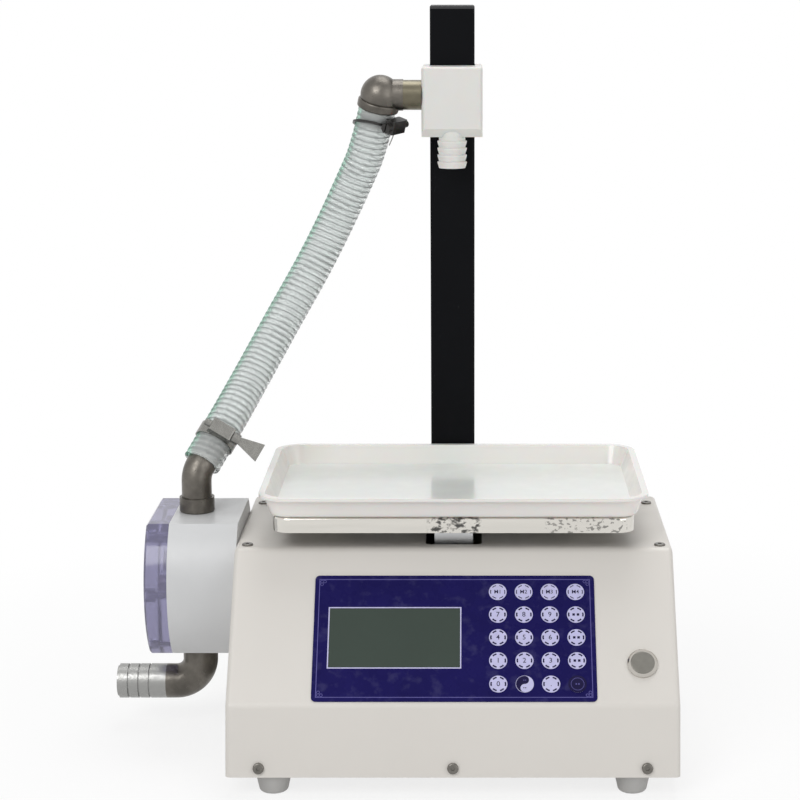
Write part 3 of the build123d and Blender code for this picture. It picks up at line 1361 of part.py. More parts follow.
# Inlet elbow under the pump, with its hose barb
INLET_Z0 = PUMP_UNDER - INLET_DROP
INLET_TIP = -SIDE_X - INLET_REACH
with BuildPart() as inlet_elbow:
    with BuildLine() as inlet_route:
        FilletPolyline(
            (PORT_X, PUMP_Y, PUMP_UNDER), (PORT_X, PUMP_Y, INLET_Z0), (INLET_TIP, PUMP_Y, INLET_Z0),
            radius=INLET_BEND_R,
        )
    with BuildSketch(Plane.XY.offset(PUMP_UNDER)):
        with Locations((PORT_X, PUMP_Y)):
            Circle(INLET_PIPE_R)
    sweep(path=inlet_route.wires()[0])
    with BuildSketch(Plane.XY.offset(PUMP_UNDER)):
        with Locations((PORT_X, PUMP_Y)):
            Circle(INLET_COLLAR_R)
    extrude(amount=-INLET_COLLAR_H)
    ring_pitch = BARB_L / BARB_RINGS
    for ring in range(BARB_RINGS):
        with BuildSketch(Plane.YZ.offset(INLET_TIP + ring * ring_pitch)):
            with Locations((PUMP_Y, INLET_Z0)):
                Circle(BARB_R + BARB_GROOVE_W)
                Circle(BARB_NECK_R, mode=Mode.SUBTRACT)
        extrude(amount=BARB_GROOVE_W, mode=Mode.SUBTRACT)
    with BuildSketch(Plane.XY.offset(PUMP_UNDER)):
        with Locations((PORT_X, PUMP_Y)):
            Circle(PORT_R - FIT)
    extrude(amount=SPIGOT_L)
    with BuildSketch(Plane.XY.offset(PUMP_UNDER + SPIGOT_L)):
        with Locations((PORT_X, PUMP_Y)):
            Circle(PORT_R - SPIGOT_WALL)
    extrude(amount=-SPIGOT_L, mode=Mode.SUBTRACT)
    with BuildSketch(Plane.XY.offset(PUMP_UNDER)):
        with Locations((PORT_X, PUMP_Y)):
            Circle(PORT_R - SPIGOT_WALL)
    sweep(path=inlet_route.wires()[0], mode=Mode.SUBTRACT)
    with BuildSketch(Plane.YZ.offset(INLET_TIP)):
        with Locations((PUMP_Y, INLET_Z0)):
            Circle(INLET_BORE_R)
    extrude(amount=PORT_X - INLET_BEND_R - INLET_TIP, mode=Mode.SUBTRACT)
inlet_elbow.part.label = "inlet_elbow"
export_step(inlet_elbow.part, "parts/inlet_elbow.step")

# Mast on two spacers behind the case
with BuildPart() as mast:
    with BuildSketch(Plane.XY.offset(MAST_BOTTOM)):
        with Locations((MAST_X, MAST_Y)):
            RectangleRounded(MAST_W, MAST_D, MAST_R)
            Rectangle(MAST_W - 2 * MAST_T, MAST_D - 2 * MAST_T, mode=Mode.SUBTRACT)
    extrude(amount=MAST_TOP - MAST_CAP_T - MAST_BOTTOM)
    with BuildSketch(REAR):
        with Locations(*MAST_BOLTS):
            Circle(MAST_BOLT_R + FIT)
    extrude(amount=MAST_STANDOFF + MAST_D, mode=Mode.SUBTRACT)
mast.part.label = "mast"
export_step(mast.part, "parts/mast.step")

with BuildPart() as mast_cap:
    with BuildSketch(Plane.XY.offset(MAST_TOP - MAST_CAP_T)):
        with Locations((MAST_X, MAST_Y)):
            RectangleRounded(MAST_W, MAST_D, MAST_R)
    extrude(amount=MAST_CAP_T)
    fillet(mast_cap.faces().sort_by(Axis.Z)[-1].edges(), MAST_CAP_ROUND)
    with BuildSketch(Plane.XY.offset(MAST_TOP - MAST_CAP_T)):
        with Locations((MAST_X, MAST_Y)):
            Rectangle(MAST_W - 2 * MAST_T - 2 * FIT, MAST_D - 2 * MAST_T - 2 * FIT)
    extrude(amount=-MAST_CAP_PLUG)
mast_cap.part.label = "mast_cap"
export_step(mast_cap.part, "parts/mast_cap.step")

with BuildPart() as mast_bracket:
    for z in MAST_BOLT_ZS:
        with BuildSketch(REAR):
            with Locations((-MAST_X, z)):
                Rectangle(MAST_W, SPACER_BLOCK_H)
        extrude(amount=MAST_STANDOFF)
    with BuildSketch(REAR.offset(-SHEET)):
        with Locations((-MAST_X, sum(MAST_BOLT_ZS) / 2)):
            Rectangle(MAST_W, MAST_BOLT_ZS[1] - MAST_BOLT_ZS[0] + SPACER_BLOCK_H)
    extrude(amount=-BACKING_T)
    with BuildSketch(REAR.offset(-SHEET - BACKING_T)):
        with Locations(*MAST_BOLTS):
            Circle(MAST_BOLT_R + FIT)
    extrude(amount=SHEET + BACKING_T + MAST_STANDOFF, mode=Mode.SUBTRACT)
mast_bracket.part.label = "mast_bracket"
export_step(mast_bracket.part, "parts/mast_bracket.step")

with BuildPart() as mast_bolts:
    add(
        rounded_screws(
            REAR.offset(MAST_STANDOFF + MAST_D),
            MAST_BOLTS,
            MAST_BOLT_HEAD_R,
            MAST_BOLT_HEAD_H,
            MAST_BOLT_R,
            MAST_D + MAST_STANDOFF + SHEET + BACKING_T + MAST_BOLT_END,
            MAST_BOLT_SOCKET_R,
        )
    )
mast_bolts.part.label = "mast_bolts"
export_step(mast_bolts.part, "parts/mast_bolts.step")

# Nozzle block that slides on the mast
with BuildPart() as nozzle_block:
    with BuildSketch(Plane.XY.offset(BLOCK_UNDER)):
        with Locations((MAST_X, (BLOCK_FRONT_Y + BLOCK_REAR_Y) / 2)):
            RectangleRounded(BLOCK_W, BLOCK_REAR_Y - BLOCK_FRONT_Y, BLOCK_R)
    extrude(amount=BLOCK_H)
    fillet(nozzle_block.faces().sort_by(Axis.Z)[-1].edges(), BLOCK_ROUND)
    with BuildSketch(Plane.YZ):
        with BuildLine():
            Polyline(
                (BLOCK_FRONT_Y, BLOCK_UNDER),
                (BLOCK_FRONT_Y + BLOCK_CHAMFER, BLOCK_UNDER),
                (BLOCK_FRONT_Y, BLOCK_UNDER + BLOCK_CHAMFER),
                close=True,
            )
        make_face()
    extrude(amount=BLOCK_W, both=True, mode=Mode.SUBTRACT)
    with BuildSketch(Plane.XY.offset(BLOCK_UNDER)):
        with Locations((MAST_X, MAST_Y)):
            Rectangle(MAST_W + 2 * GAP, MAST_D + 2 * GAP)
    extrude(amount=BLOCK_H, mode=Mode.SUBTRACT)
    with BuildSketch(Plane.XY.offset(BLOCK_UNDER)):
        with Locations((MAST_X, NOZZLE_Y)):
            Circle(NOZZLE_SHANK_R + TOUCH)
    extrude(amount=SOCKET_DEPTH, mode=Mode.SUBTRACT)
    with BuildSketch(Plane.XY.offset(BLOCK_UNDER)):
        with Locations((MAST_X, NOZZLE_Y)):
            Circle(CHANNEL_R)
    extrude(amount=INLET_HEIGHT + NOZZLE_BORE_R, mode=Mode.SUBTRACT)
    with BuildSketch(Plane.YZ.offset(BLOCK_LEFT)):
        with Locations((NOZZLE_Y, INLET_Z)):
            Circle(PORT_R)
    extrude(amount=INLET_TAP_DEPTH, mode=Mode.SUBTRACT)
    with BuildSketch(Plane.YZ.offset(BLOCK_LEFT)):
        with Locations((NOZZLE_Y, INLET_Z)):
            Circle(CHANNEL_R)
    extrude(amount=BLOCK_W / 2, mode=Mode.SUBTRACT)
    with BuildSketch(Plane(origin=(MAST_X, BLOCK_REAR_Y, KNOB_Z), x_dir=(-1, 0, 0), z_dir=(0, 1, 0))):
        Circle(KNOB_STUD_R + FIT)
    extrude(amount=-BLOCK_BACK, mode=Mode.SUBTRACT)
nozzle_block.part.label = "nozzle_block"
export_step(nozzle_block.part, "parts/nozzle_block.step")

# Filling nozzle, a barbed spout turned about its own axis
barb_pitch = NOZZLE_DROP / (NOZZLE_BARBS + 0.5)
nozzle_tip = BLOCK_UNDER - NOZZLE_DROP
with BuildPart() as filling_nozzle:
    with BuildSketch(Plane.XZ) as nozzle_profile:
        with BuildLine():
            profile = [(NOZZLE_BORE_R, nozzle_tip), (NOZZLE_NECK_R, nozzle_tip)]
            for barb in range(NOZZLE_BARBS):
                z = nozzle_tip + barb * barb_pitch
                profile += [(NOZZLE_BARB_R, z + barb_pitch * 0.75), (NOZZLE_BARB_R, z + barb_pitch * 0.9)]
                profile += [(NOZZLE_NECK_R, z + barb_pitch)]
            profile += [(NOZZLE_NECK_R, BLOCK_UNDER - GAP), (NOZZLE_SHANK_R, BLOCK_UNDER - GAP)]
            profile += [(NOZZLE_SHANK_R, BLOCK_UNDER + SOCKET_DEPTH)]
            profile += [(NOZZLE_BORE_R, BLOCK_UNDER + SOCKET_DEPTH)]
            Polyline(*profile, close=True)
        make_face()
    revolve(axis=Axis.Z)
    filling_nozzle.part = filling_nozzle.part.moved(Location((MAST_X, NOZZLE_Y, 0)))
filling_nozzle.part.label = "filling_nozzle"
export_step(filling_nozzle.part, "parts/filling_nozzle.step")

# Lock knob behind the block
KNOB = Plane(origin=(MAST_X, BLOCK_REAR_Y + KNOB_STANDOFF, KNOB_Z), x_dir=(-1, 0, 0), z_dir=(0, 1, 0))
with BuildPart() as lock_knob:
    with BuildSketch(KNOB):
        Circle(KNOB_R - KNOB_LOBE_R / 2)
        with PolarLocations(KNOB_R - KNOB_LOBE_R, KNOB_LOBES):
            Circle(KNOB_LOBE_R)
    extrude(amount=KNOB_T)
    fillet(lock_knob.faces().sort_by(Axis.Y)[-1].edges(), KNOB_ROUND)
    with BuildSketch(KNOB):
        Circle(KNOB_STUD_R)
    extrude(amount=GAP - BLOCK_BACK - KNOB_STANDOFF)
lock_knob.part.label = "lock_knob"
export_step(lock_knob.part, "parts/lock_knob.step")

# Nipple and elbow that bring the hose to the block
TOP_BEND = Vector(MAST_X - TOP_REACH - BLOCK_W / 2, NOZZLE_Y, INLET_Z)
TOP_DIR = unit(TOP_AIM)
TOP_END = TOP_BEND + TOP_DIR * TOP_LEG
NIPPLE_X = BLOCK_LEFT - TOP_NIPPLE_L
with BuildPart() as top_nipple:
    with BuildSketch(Plane.YZ.offset(NIPPLE_X)):
        with Locations((NOZZLE_Y, INLET_Z)):
            Circle(TOP_NIPPLE_R)
    extrude(amount=TOP_NIPPLE_L)
    with BuildSketch(Plane.YZ.offset(BLOCK_LEFT)):
        with Locations((NOZZLE_Y, INLET_Z)):
            Circle(PORT_R - FIT)
    extrude(amount=INLET_THREAD_L)
    with BuildSketch(Plane.YZ.offset(NIPPLE_X)):
        with Locations((NOZZLE_Y, INLET_Z)):
            Circle(CHANNEL_R)
    extrude(amount=TOP_NIPPLE_L + INLET_THREAD_L, mode=Mode.SUBTRACT)
top_nipple.part.label = "top_nipple"
export_step(top_nipple.part, "parts/top_nipple.step")

TOP_BRANCH = Plane(origin=TOP_BEND, z_dir=TOP_DIR)
with BuildPart() as top_elbow:
    with Locations(TOP_BEND):
        Sphere(TOP_BALL_R)
    with BuildSketch(Plane.YZ.offset(NIPPLE_X)):
        with Locations((NOZZLE_Y, INLET_Z)):
            Circle(TOP_NECK_R)
    extrude(amount=TOP_BEND.X - NIPPLE_X)
    with BuildSketch(TOP_BRANCH.offset(TOP_LEG - TOP_COLLAR_L)):
        Circle(TOP_COLLAR_R)
    extrude(amount=TOP_COLLAR_L)
    elbow_circles = top_elbow.edges().filter_by(GeomType.CIRCLE)
    fillet(elbow_circles.filter_by(lambda e: e.radius > TOP_BALL_R), TOP_COLLAR_ROUND)
    with BuildSketch(TOP_BRANCH):
        Circle(TOP_STUB_R)
    extrude(amount=TOP_LEG + TOP_STUB_L)
    with BuildSketch(Plane.YZ.offset(NIPPLE_X)):
        with Locations((NOZZLE_Y, INLET_Z)):
            Circle(CHANNEL_R)
    extrude(amount=TOP_BEND.X - NIPPLE_X, mode=Mode.SUBTRACT)
    with Locations(TOP_BEND):
        Sphere(TOP_BORE_R, mode=Mode.SUBTRACT)
    with BuildSketch(TOP_BRANCH):
        Circle(TOP_BORE_R)
    extrude(amount=TOP_LEG + TOP_STUB_L, mode=Mode.SUBTRACT)
top_elbow.part.label = "top_elbow"
export_step(top_elbow.part, "parts/top_elbow.step")

# Hose
HOSE_TOP = TOP_END + TOP_DIR * GAP
hose_points = [
    OUTLET_BEND + OUTLET_DIR * HOSE_START,
    OUTLET_BEND + OUTLET_DIR * (HOSE_START + HOSE_FIRST_RUN),
]
hose_points += [Vector(*point) for point in HOSE_POINTS]
hose_points += [HOSE_TOP + TOP_DIR * HOSE_LAST_RUN, HOSE_TOP]
runs = [b - a for a, b in zip(hose_points, hose_points[1:])]
turns = [a.get_angle(b) for a, b in zip(runs, runs[1:])]
hose_radii = [
    0.45 * min(a.length, b.length) / tan(radians(turn / 2))
    for a, b, turn in zip(runs, runs[1:], turns)
]
with BuildPart() as hose:
    with BuildLine() as hose_route:
        FilletPolyline(*hose_points, radius=hose_radii)
    with BuildSketch(Plane(origin=hose_points[0], z_dir=runs[0])):
        Circle(HOSE_R)
        Circle(HOSE_BORE_R, mode=Mode.SUBTRACT)
    sweep(path=hose_route.wires()[0])
hose.part.label = "hose"
export_step(hose.part, "parts/hose.step")


def clamp_plane(centre, along, towards):
    """A plane across the hose whose Y axis points at towards."""
    out = (towards - along * towards.dot(along)).normalized()
    return Plane(origin=centre, x_dir=out.cross(along), z_dir=along)


CLAMP_BORE_R = HOSE_R + GAP
WORM_Y = CLAMP_BORE_R + BAND_T + HOUSING_H / 2


def worm_housing(plane):
    """The block that holds a clamp's worm, on the +Y side of the plane."""
    with BuildPart() as block:
        with BuildSketch(plane.offset(-BAND_W / 2)):
            with Locations((0, WORM_Y - BAND_T / 2)):
                RectangleRounded(HOUSING_L, HOUSING_H + BAND_T, HOUSING_R)
            Circle(CLAMP_BORE_R + BAND_T / 2, mode=Mode.SUBTRACT)
        extrude(amount=BAND_W)
        worm_seat = Plane(
            origin=plane.from_local_coords((-HOUSING_L, WORM_Y, 0)), z_dir=plane.x_dir
        )
        with BuildSketch(worm_seat):
            Circle(WORM_R + FIT)
        extrude(amount=2 * HOUSING_L, mode=Mode.SUBTRACT)
    return block.part


# Clamp at the pump end, with a wing key on its worm
LOWER_CLAMP = clamp_plane(
    OUTLET_BEND + OUTLET_DIR * LOWER_CLAMP_AT, OUTLET_DIR, Vector(0.274, -0.847, 0.454)
)
with BuildPart() as lower_clamp_band:
    with BuildSketch(LOWER_CLAMP.offset(-BAND_W / 2)):
        Circle(CLAMP_BORE_R + BAND_T)
        Circle(CLAMP_BORE_R, mode=Mode.SUBTRACT)
    extrude(amount=BAND_W)
    add(worm_housing(LOWER_CLAMP))
lower_clamp_band.part.label = "lower_clamp_band"
export_step(lower_clamp_band.part, "parts/lower_clamp_band.step")

LOWER_WORM = Plane(
    origin=LOWER_CLAMP.from_local_coords((WORM_L / 2, WORM_Y, 0)), x_dir=LOWER_CLAMP.y_dir,
    z_dir=-LOWER_CLAMP.x_dir,
)
with BuildPart() as lower_clamp_screw:
    with BuildSketch(LOWER_WORM):
        Circle(WORM_R)
    extrude(amount=WORM_L)
    with BuildSketch(LOWER_WORM.offset(WORM_L / 2 + HOUSING_L / 2 + GAP)):
        Circle(WING_HUB_R)
    extrude(amount=WING_HUB_L)
    wing_root = WORM_L / 2 + HOUSING_L / 2 + GAP + WING_HUB_L
    wing_plane = Plane(
        origin=LOWER_WORM.from_local_coords((0, 0, wing_root)), x_dir=LOWER_WORM.z_dir,
        z_dir=LOWER_WORM.x_dir,
    )
    with BuildSketch(wing_plane):
        with BuildLine():
            Polyline(
                (0, -WORM_R),
                (WING_L, -WING_W / 2),
                (WING_L, WING_W / 2),
                (0, WORM_R),
                close=True,
            )
        make_face()
    extrude(amount=WING_T / 2, both=True)
lower_clamp_screw.part.label = "lower_clamp_screw"
export_step(lower_clamp_screw.part, "parts/lower_clamp_screw.step")

# Wire clamp at the nozzle end, askew on the hose, with a slotted worm
UPPER_CLAMP = clamp_plane(
    HOSE_TOP + TOP_DIR * WIRE_HOUSING_AT, TOP_DIR, Vector(0.83, -0.5, -0.2)
)
WIRE_LOOP = UPPER_CLAMP.offset(UPPER_CLAMP_AT - WIRE_HOUSING_AT).rotated((-WIRE_TILT, 0, 0))
with BuildPart() as upper_clamp_band:
    with BuildSketch(UPPER_CLAMP.offset(-BAND_W)):
        Circle(CLAMP_BORE_R + WIRE_T)
        Circle(CLAMP_BORE_R, mode=Mode.SUBTRACT)
    extrude(amount=4 * BAND_W)
    with BuildSketch(WIRE_LOOP.offset(-WIRE_T / 2)):
        Rectangle(4 * HOSE_R, 4 * HOSE_R)
    extrude(amount=WIRE_T, mode=Mode.INTERSECT)
    add(worm_housing(UPPER_CLAMP))
upper_clamp_band.part.label = "upper_clamp_band"
export_step(upper_clamp_band.part, "parts/upper_clamp_band.step")

UPPER_WORM = Plane(
    origin=UPPER_CLAMP.from_local_coords((WORM_L / 2, WORM_Y, 0)), x_dir=UPPER_CLAMP.y_dir,
    z_dir=-UPPER_CLAMP.x_dir,
)
with BuildPart() as upper_clamp_screw:
    with BuildSketch(UPPER_WORM):
        Circle(WORM_R)
    extrude(amount=WORM_L)
    with BuildSketch(UPPER_WORM.offset(WORM_L / 2 + HOUSING_L / 2 + GAP)):
        Circle(SLOT_HEAD_R)
    extrude(amount=SLOT_HEAD_L)
    with BuildSketch(UPPER_WORM.offset(WORM_L / 2 + HOUSING_L / 2 + GAP + SLOT_HEAD_L)):
        Rectangle(SLOT_W, 3 * SLOT_HEAD_R)
    extrude(amount=-SLOT_DEPTH, mode=Mode.SUBTRACT)
upper_clamp_screw.part.label = "upper_clamp_screw"
export_step(upper_clamp_screw.part, "parts/upper_clamp_screw.step")

# Mains socket and switch on the rear panel
SOCKET = Plane(origin=(INLET_SOCKET_X, REAR_Y, INLET_SOCKET_Z), x_dir=(-1, 0, 0), z_dir=(0, 1, 0))
with BuildPart() as power_inlet:
    with BuildSketch(SOCKET):
        RectangleRounded(SOCKET_FLANGE_W, SOCKET_FLANGE_H, SOCKET_FLANGE_R)
    extrude(amount=SOCKET_FLANGE_T)
    fillet(power_inlet.faces().sort_by(Axis.Y)[-1].edges(), SOCKET_FLANGE_ROUND)
    with BuildSketch(SOCKET):
        Rectangle(SOCKET_BODY_W, SOCKET_BODY_H)
    extrude(amount=-SOCKET_BODY_L)
    with BuildSketch(SOCKET.offset(SOCKET_FLANGE_T)) as socket_mouth:
        Rectangle(SOCKET_MOUTH_W, SOCKET_MOUTH_H)
        chamfer(socket_mouth.vertices().group_by(Axis.Y)[-1], SOCKET_MOUTH_CUT)
    extrude(amount=-SOCKET_MOUTH_DEPTH, mode=Mode.SUBTRACT)
    with BuildSketch(SOCKET.offset(SOCKET_FLANGE_T - SOCKET_MOUTH_DEPTH)):
        with Locations(
            (-SOCKET_PIN_PITCH, -SOCKET_PIN_RISE),
            (SOCKET_PIN_PITCH, -SOCKET_PIN_RISE),
            (0, SOCKET_PIN_RISE),
        ):
            Rectangle(SOCKET_PIN_W, SOCKET_PIN_H)
    extrude(amount=SOCKET_PIN_L)
    with BuildSketch(SOCKET.offset(SOCKET_FLANGE_T)):
        with Locations((-SOCKET_HOLE_X, 0), (SOCKET_HOLE_X, 0)):
            Circle(SOCKET_HOLE_R)
    extrude(amount=-SOCKET_FLANGE_T, mode=Mode.SUBTRACT)
power_inlet.part.label = "power_inlet"
export_step(power_inlet.part, "parts/power_inlet.step")

SWITCH = Plane(origin=(SWITCH_X, REAR_Y, SWITCH_Z), x_dir=(-1, 0, 0), z_dir=(0, 1, 0))
with BuildPart() as switch_frame:
    with BuildSketch(SWITCH):
        RectangleRounded(SWITCH_FRAME_W, SWITCH_FRAME_H, SWITCH_FRAME_R)
    extrude(amount=SWITCH_FRAME_T)
    fillet(switch_frame.faces().sort_by(Axis.Y)[-1].edges(), SWITCH_FRAME_ROUND)
    with BuildSketch(SWITCH):
        Rectangle(SWITCH_BODY_W, SWITCH_BODY_H)
    extrude(amount=-SWITCH_BODY_L)
    with BuildSketch(SWITCH.offset(SWITCH_FRAME_T)):
        Rectangle(ROCKER_W + 2 * GAP, ROCKER_H + 2 * GAP)
    extrude(amount=-SWITCH_POCKET, mode=Mode.SUBTRACT)
    with BuildSketch(Plane.YZ.offset(SWITCH_X)):
        with Locations((REAR_Y - PIVOT_DEPTH, SWITCH_Z)):
            Circle(PIVOT_R + FIT)
    extrude(amount=ROCKER_W / 2 + PIVOT_L + 2 * FIT, both=True, mode=Mode.SUBTRACT)
switch_frame.part.label = "switch_frame"
export_step(switch_frame.part, "parts/switch_frame.step")

ROCKER_TILT = radians(ROCKER_SWING / 2)
with BuildPart() as switch_rocker:
    rocker_plane = Plane(
        origin=(SWITCH_X, REAR_Y - PIVOT_DEPTH, SWITCH_Z),
        x_dir=(0, cos(ROCKER_TILT), sin(ROCKER_TILT)),
        z_dir=(1, 0, 0),
    )
    half = ROCKER_H / 2 - ROCKER_RELIEF
    with BuildSketch(rocker_plane):
        with BuildLine():
            Polyline(
                (ROCKER_PROUD + half * tan(ROCKER_TILT), half),
                (ROCKER_PROUD, 0),
                (ROCKER_PROUD + half * tan(ROCKER_TILT), -half),
                (-ROCKER_HEEL, -half * cos(ROCKER_TILT) ** 2),
                (-ROCKER_KEEL, -ROCKER_KEEL_W / 2),
                (-ROCKER_KEEL, ROCKER_KEEL_W / 2),
                (-ROCKER_HEEL, half * cos(ROCKER_TILT) ** 2),
                close=True,
            )
        make_face()
    extrude(amount=ROCKER_W / 2, both=True)
    with BuildSketch(rocker_plane):
        Circle(PIVOT_R)
    extrude(amount=ROCKER_W / 2 + PIVOT_L, both=True)
switch_rocker.part.label = "switch_rocker"
export_step(switch_rocker.part, "parts/switch_rocker.step")

# Control board on its standoffs
BOARD_TOP = BOARD_Z + BOARD_T
with BuildPart() as control_board:
    with BuildSketch(Plane.XY.offset(BOARD_Z)):
        with Locations((BOARD_X, BOARD_Y)):
            Rectangle(BOARD_W, BOARD_D)
    extrude(amount=BOARD_T)
    with BuildSketch(Plane.XY.offset(FLOOR_Z)):
        with Locations((BOARD_X, BOARD_Y)):
            with GridLocations(BOARD_W - 2 * BOARD_HOLE_INSET, BOARD_D - 2 * BOARD_HOLE_INSET, 2, 2):
                RegularPolygon(STANDOFF_R, 6)
    extrude(amount=STANDOFF_H)
    with BuildSketch(Plane.XY.offset(BOARD_TOP)):
        with Locations((BOARD_X - BOARD_W / 4, BOARD_Y)):
            Rectangle(CHIP_W, CHIP_W)
        with Locations((BOARD_X, BOARD_Y - BOARD_D / 4)):
            with GridLocations(DRIVER_PITCH, 0, 2, 1):
                Rectangle(DRIVER_W, DRIVER_D)
    extrude(amount=CHIP_T)
    with BuildSketch(Plane.XY.offset(BOARD_TOP)):
        with Locations((BOARD_X, BOARD_Y + BOARD_D / 2)):
            Rectangle(HEADER_W, HEADER_D, align=(Align.CENTER, Align.MAX))
        with Locations((BOARD_X + BOARD_W / 2, BOARD_Y - BOARD_HOLE_INSET)):
            Rectangle(TERMINAL_W, TERMINAL_D, align=(Align.MAX, Align.CENTER))
    extrude(amount=CONNECTOR_H)
    with BuildSketch(Plane.XY.offset(BOARD_TOP)):
        with Locations((BOARD_X + BOARD_W / 6, BOARD_Y + BOARD_D / 6)):
            with GridLocations(CAPACITOR_PITCH, 0, 2, 1):
                Circle(CAPACITOR_R)
    extrude(amount=CAPACITOR_H)
control_board.part.label = "control_board"
export_step(control_board.part, "parts/control_board.step")

# Power supply in its perforated case, with its terminals on a shelf at the rear
SHELF_Z = FLOOR_Z + SUPPLY_STEP
SHELF_Y = SUPPLY_Y + SUPPLY_D / 2
with BuildPart() as power_supply:
    with BuildSketch(Plane.XY.offset(FLOOR_Z)):
        with Locations((SUPPLY_X, SUPPLY_Y)):
            Rectangle(SUPPLY_W, SUPPLY_D)
    extrude(amount=SUPPLY_H)
    with BuildSketch(Plane.XY.offset(SHELF_Z)):
        with Locations((SUPPLY_X, SHELF_Y)):
            Rectangle(SUPPLY_W - 2 * SUPPLY_SHEET, SUPPLY_SHELF, align=(Align.CENTER, Align.MAX))
    extrude(amount=SUPPLY_H, mode=Mode.SUBTRACT)
    with BuildSketch(Plane.XY.offset(SHELF_Z)):
        with Locations((SUPPLY_X, SHELF_Y - SUPPLY_SHELF / 2)):
            with GridLocations(SUPPLY_TERMINAL_PITCH, 0, SUPPLY_TERMINALS, 1):
                Rectangle(SUPPLY_TERMINAL_W, SUPPLY_TERMINAL_D)
    extrude(amount=SUPPLY_TERMINAL_H)
    with BuildSketch(Plane.XY.offset(FLOOR_Z + SUPPLY_H)):
        with Locations((SUPPLY_X, SUPPLY_Y - SUPPLY_SHELF / 2)):
            with GridLocations(
                SUPPLY_VENT_PITCH, SUPPLY_VENT_PITCH, SUPPLY_VENT_COLUMNS, SUPPLY_VENT_ROWS
            ):
                RegularPolygon(SUPPLY_VENT_R, 6)
    extrude(amount=-SUPPLY_VENT_DEPTH, mode=Mode.SUBTRACT)
power_supply.part.label = "power_supply"
export_step(power_supply.part, "parts/power_supply.step")
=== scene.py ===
import json
import math

import bmesh
import bpy
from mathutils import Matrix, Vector


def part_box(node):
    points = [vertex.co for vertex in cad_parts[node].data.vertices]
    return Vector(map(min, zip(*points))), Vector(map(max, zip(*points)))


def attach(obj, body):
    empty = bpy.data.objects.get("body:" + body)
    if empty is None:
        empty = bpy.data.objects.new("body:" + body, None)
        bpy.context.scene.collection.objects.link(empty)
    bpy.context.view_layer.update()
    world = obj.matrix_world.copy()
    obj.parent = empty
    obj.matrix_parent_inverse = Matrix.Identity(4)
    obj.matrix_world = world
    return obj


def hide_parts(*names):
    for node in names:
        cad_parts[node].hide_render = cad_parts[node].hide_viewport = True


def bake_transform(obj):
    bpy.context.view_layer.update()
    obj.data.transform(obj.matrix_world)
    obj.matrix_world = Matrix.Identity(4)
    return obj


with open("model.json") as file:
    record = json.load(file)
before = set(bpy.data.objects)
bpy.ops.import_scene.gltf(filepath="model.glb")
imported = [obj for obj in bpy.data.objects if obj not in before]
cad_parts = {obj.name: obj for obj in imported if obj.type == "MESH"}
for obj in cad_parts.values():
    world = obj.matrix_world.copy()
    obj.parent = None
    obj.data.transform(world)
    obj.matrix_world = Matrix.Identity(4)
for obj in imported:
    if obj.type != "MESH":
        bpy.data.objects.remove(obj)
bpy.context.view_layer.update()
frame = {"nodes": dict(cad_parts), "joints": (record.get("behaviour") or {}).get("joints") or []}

bl_info = {
    "name": "Weighing filling machine",
    "version": (1, 0, 0),
    "blender": (4, 5, 0),
    "location": "3D View > Sidebar > Filling",
    "description": "Finishes a bench filling machine, and makes its hose, print and studio",
    "category": "Object",
}

MM = 0.001
TURN = 2 * math.pi

# The hose's route, from the lower clamp's elbow to the one beside the nozzle block, in metres
HOSE_ROUTE = (
    (-0.2030, 0.0399, 0.2174),
    (-0.1868, 0.0603, 0.2437),
    (-0.1680, 0.0920, 0.2760),
    (-0.1440, 0.1180, 0.3190),
    (-0.1190, 0.1360, 0.3620),
    (-0.0990, 0.1435, 0.4010),
    (-0.0835, 0.1440, 0.4340),
    (-0.0708, 0.1377, 0.4619),
    (-0.0633, 0.1306, 0.4943),
)
HOSE_TINT_SIDE = (-1, -0.25, 0.3)  # the side along which the painted green edge tint runs
ROUTE_STEPS = 100
COIL_STEPS = 20  # points to a turn of the spiral
COIL_SIDES = 8

# The loose end of the upper clamp's wire, with its route from the screw's middle in millimetres
WIRE_END_RADIUS = 0.45 * MM
WIRE_END_SIDES = 10
WIRE_END_ROUTE = ((0, 0, 0), (-0.6, -0.4, -4), (-2.2, -0.4, -9), (-5, 0.4, -15))

# Where the turned barb of the inlet ends and the rough casting starts, along X
BARB_END = -0.2345

# Painted reflections on the platter's front skirt, dark patches that stand for dark things mirrored in
# the steel:
# left and right end along X, strength, lumps to the metre, and the value of the noise from which it
# shows
SKIRT_PAINTED_REFLECTIONS = (
    (-0.021, 0.019, 0.9, 260.0, 0.46),
    (0.070, 0.136, 0.6, 330.0, 0.56),
)
# Soft edge of each painted reflection along X
PAINTED_REFLECTION_EDGE = 3 * MM

# The middles of the loops in a corner knot, counted in loop radii from the corner
KNOT_LOOPS = ((1.6, 1.6), (3.6, 1.6), (1.6, 3.6))

# What is drawn on a key, in shares of the key's radius
KEY_RADIUS = 0.0068
DISC_SHARE = 1.02
RING_SHARE = 0.72
SWIRL_SHARE = 0.96
SWIRL_EYE_SHARE = 0.45
DASH_RING_SHARE = 0.8
DASHES = 6
DASH_SWEEP = 0.6

LETTER_SIZE = 1.4  # font size for a height of 1
MITRE_LIMIT = 0.3

CAMERA_PLACE = (0.014, -1.6868, 0.6103)
CAMERA_TILT = math.radians(78.816)
CAMERA_LENS = 99.0
CAMERA_SHIFT = -0.0895

# Each lamp's name, the setting that holds its power, its place and its side
LAMPS = (
    ("key_lamp", "key", (-1.1, -1.9, 1.9), 1.4),
    ("fill_lamp", "fill", (1.7, -1.6, 1.0), 1.6),
    ("top_lamp", "top", (0.2, 0.6, 2.1), 1.2),
)
LAMP_TARGET = (0, 0, 0.2)

# What stands on the membrane keys, row by row from the top
KEY_LEGENDS = (
    ("M1", "M2", "M3", "M4"),
    ("7", "8", "9", "blocks"),
    ("4", "5", "6", "blocks"),
    ("1", "2", "3", "blocks"),
    ("0", "swirl", ".", "disc"),
)


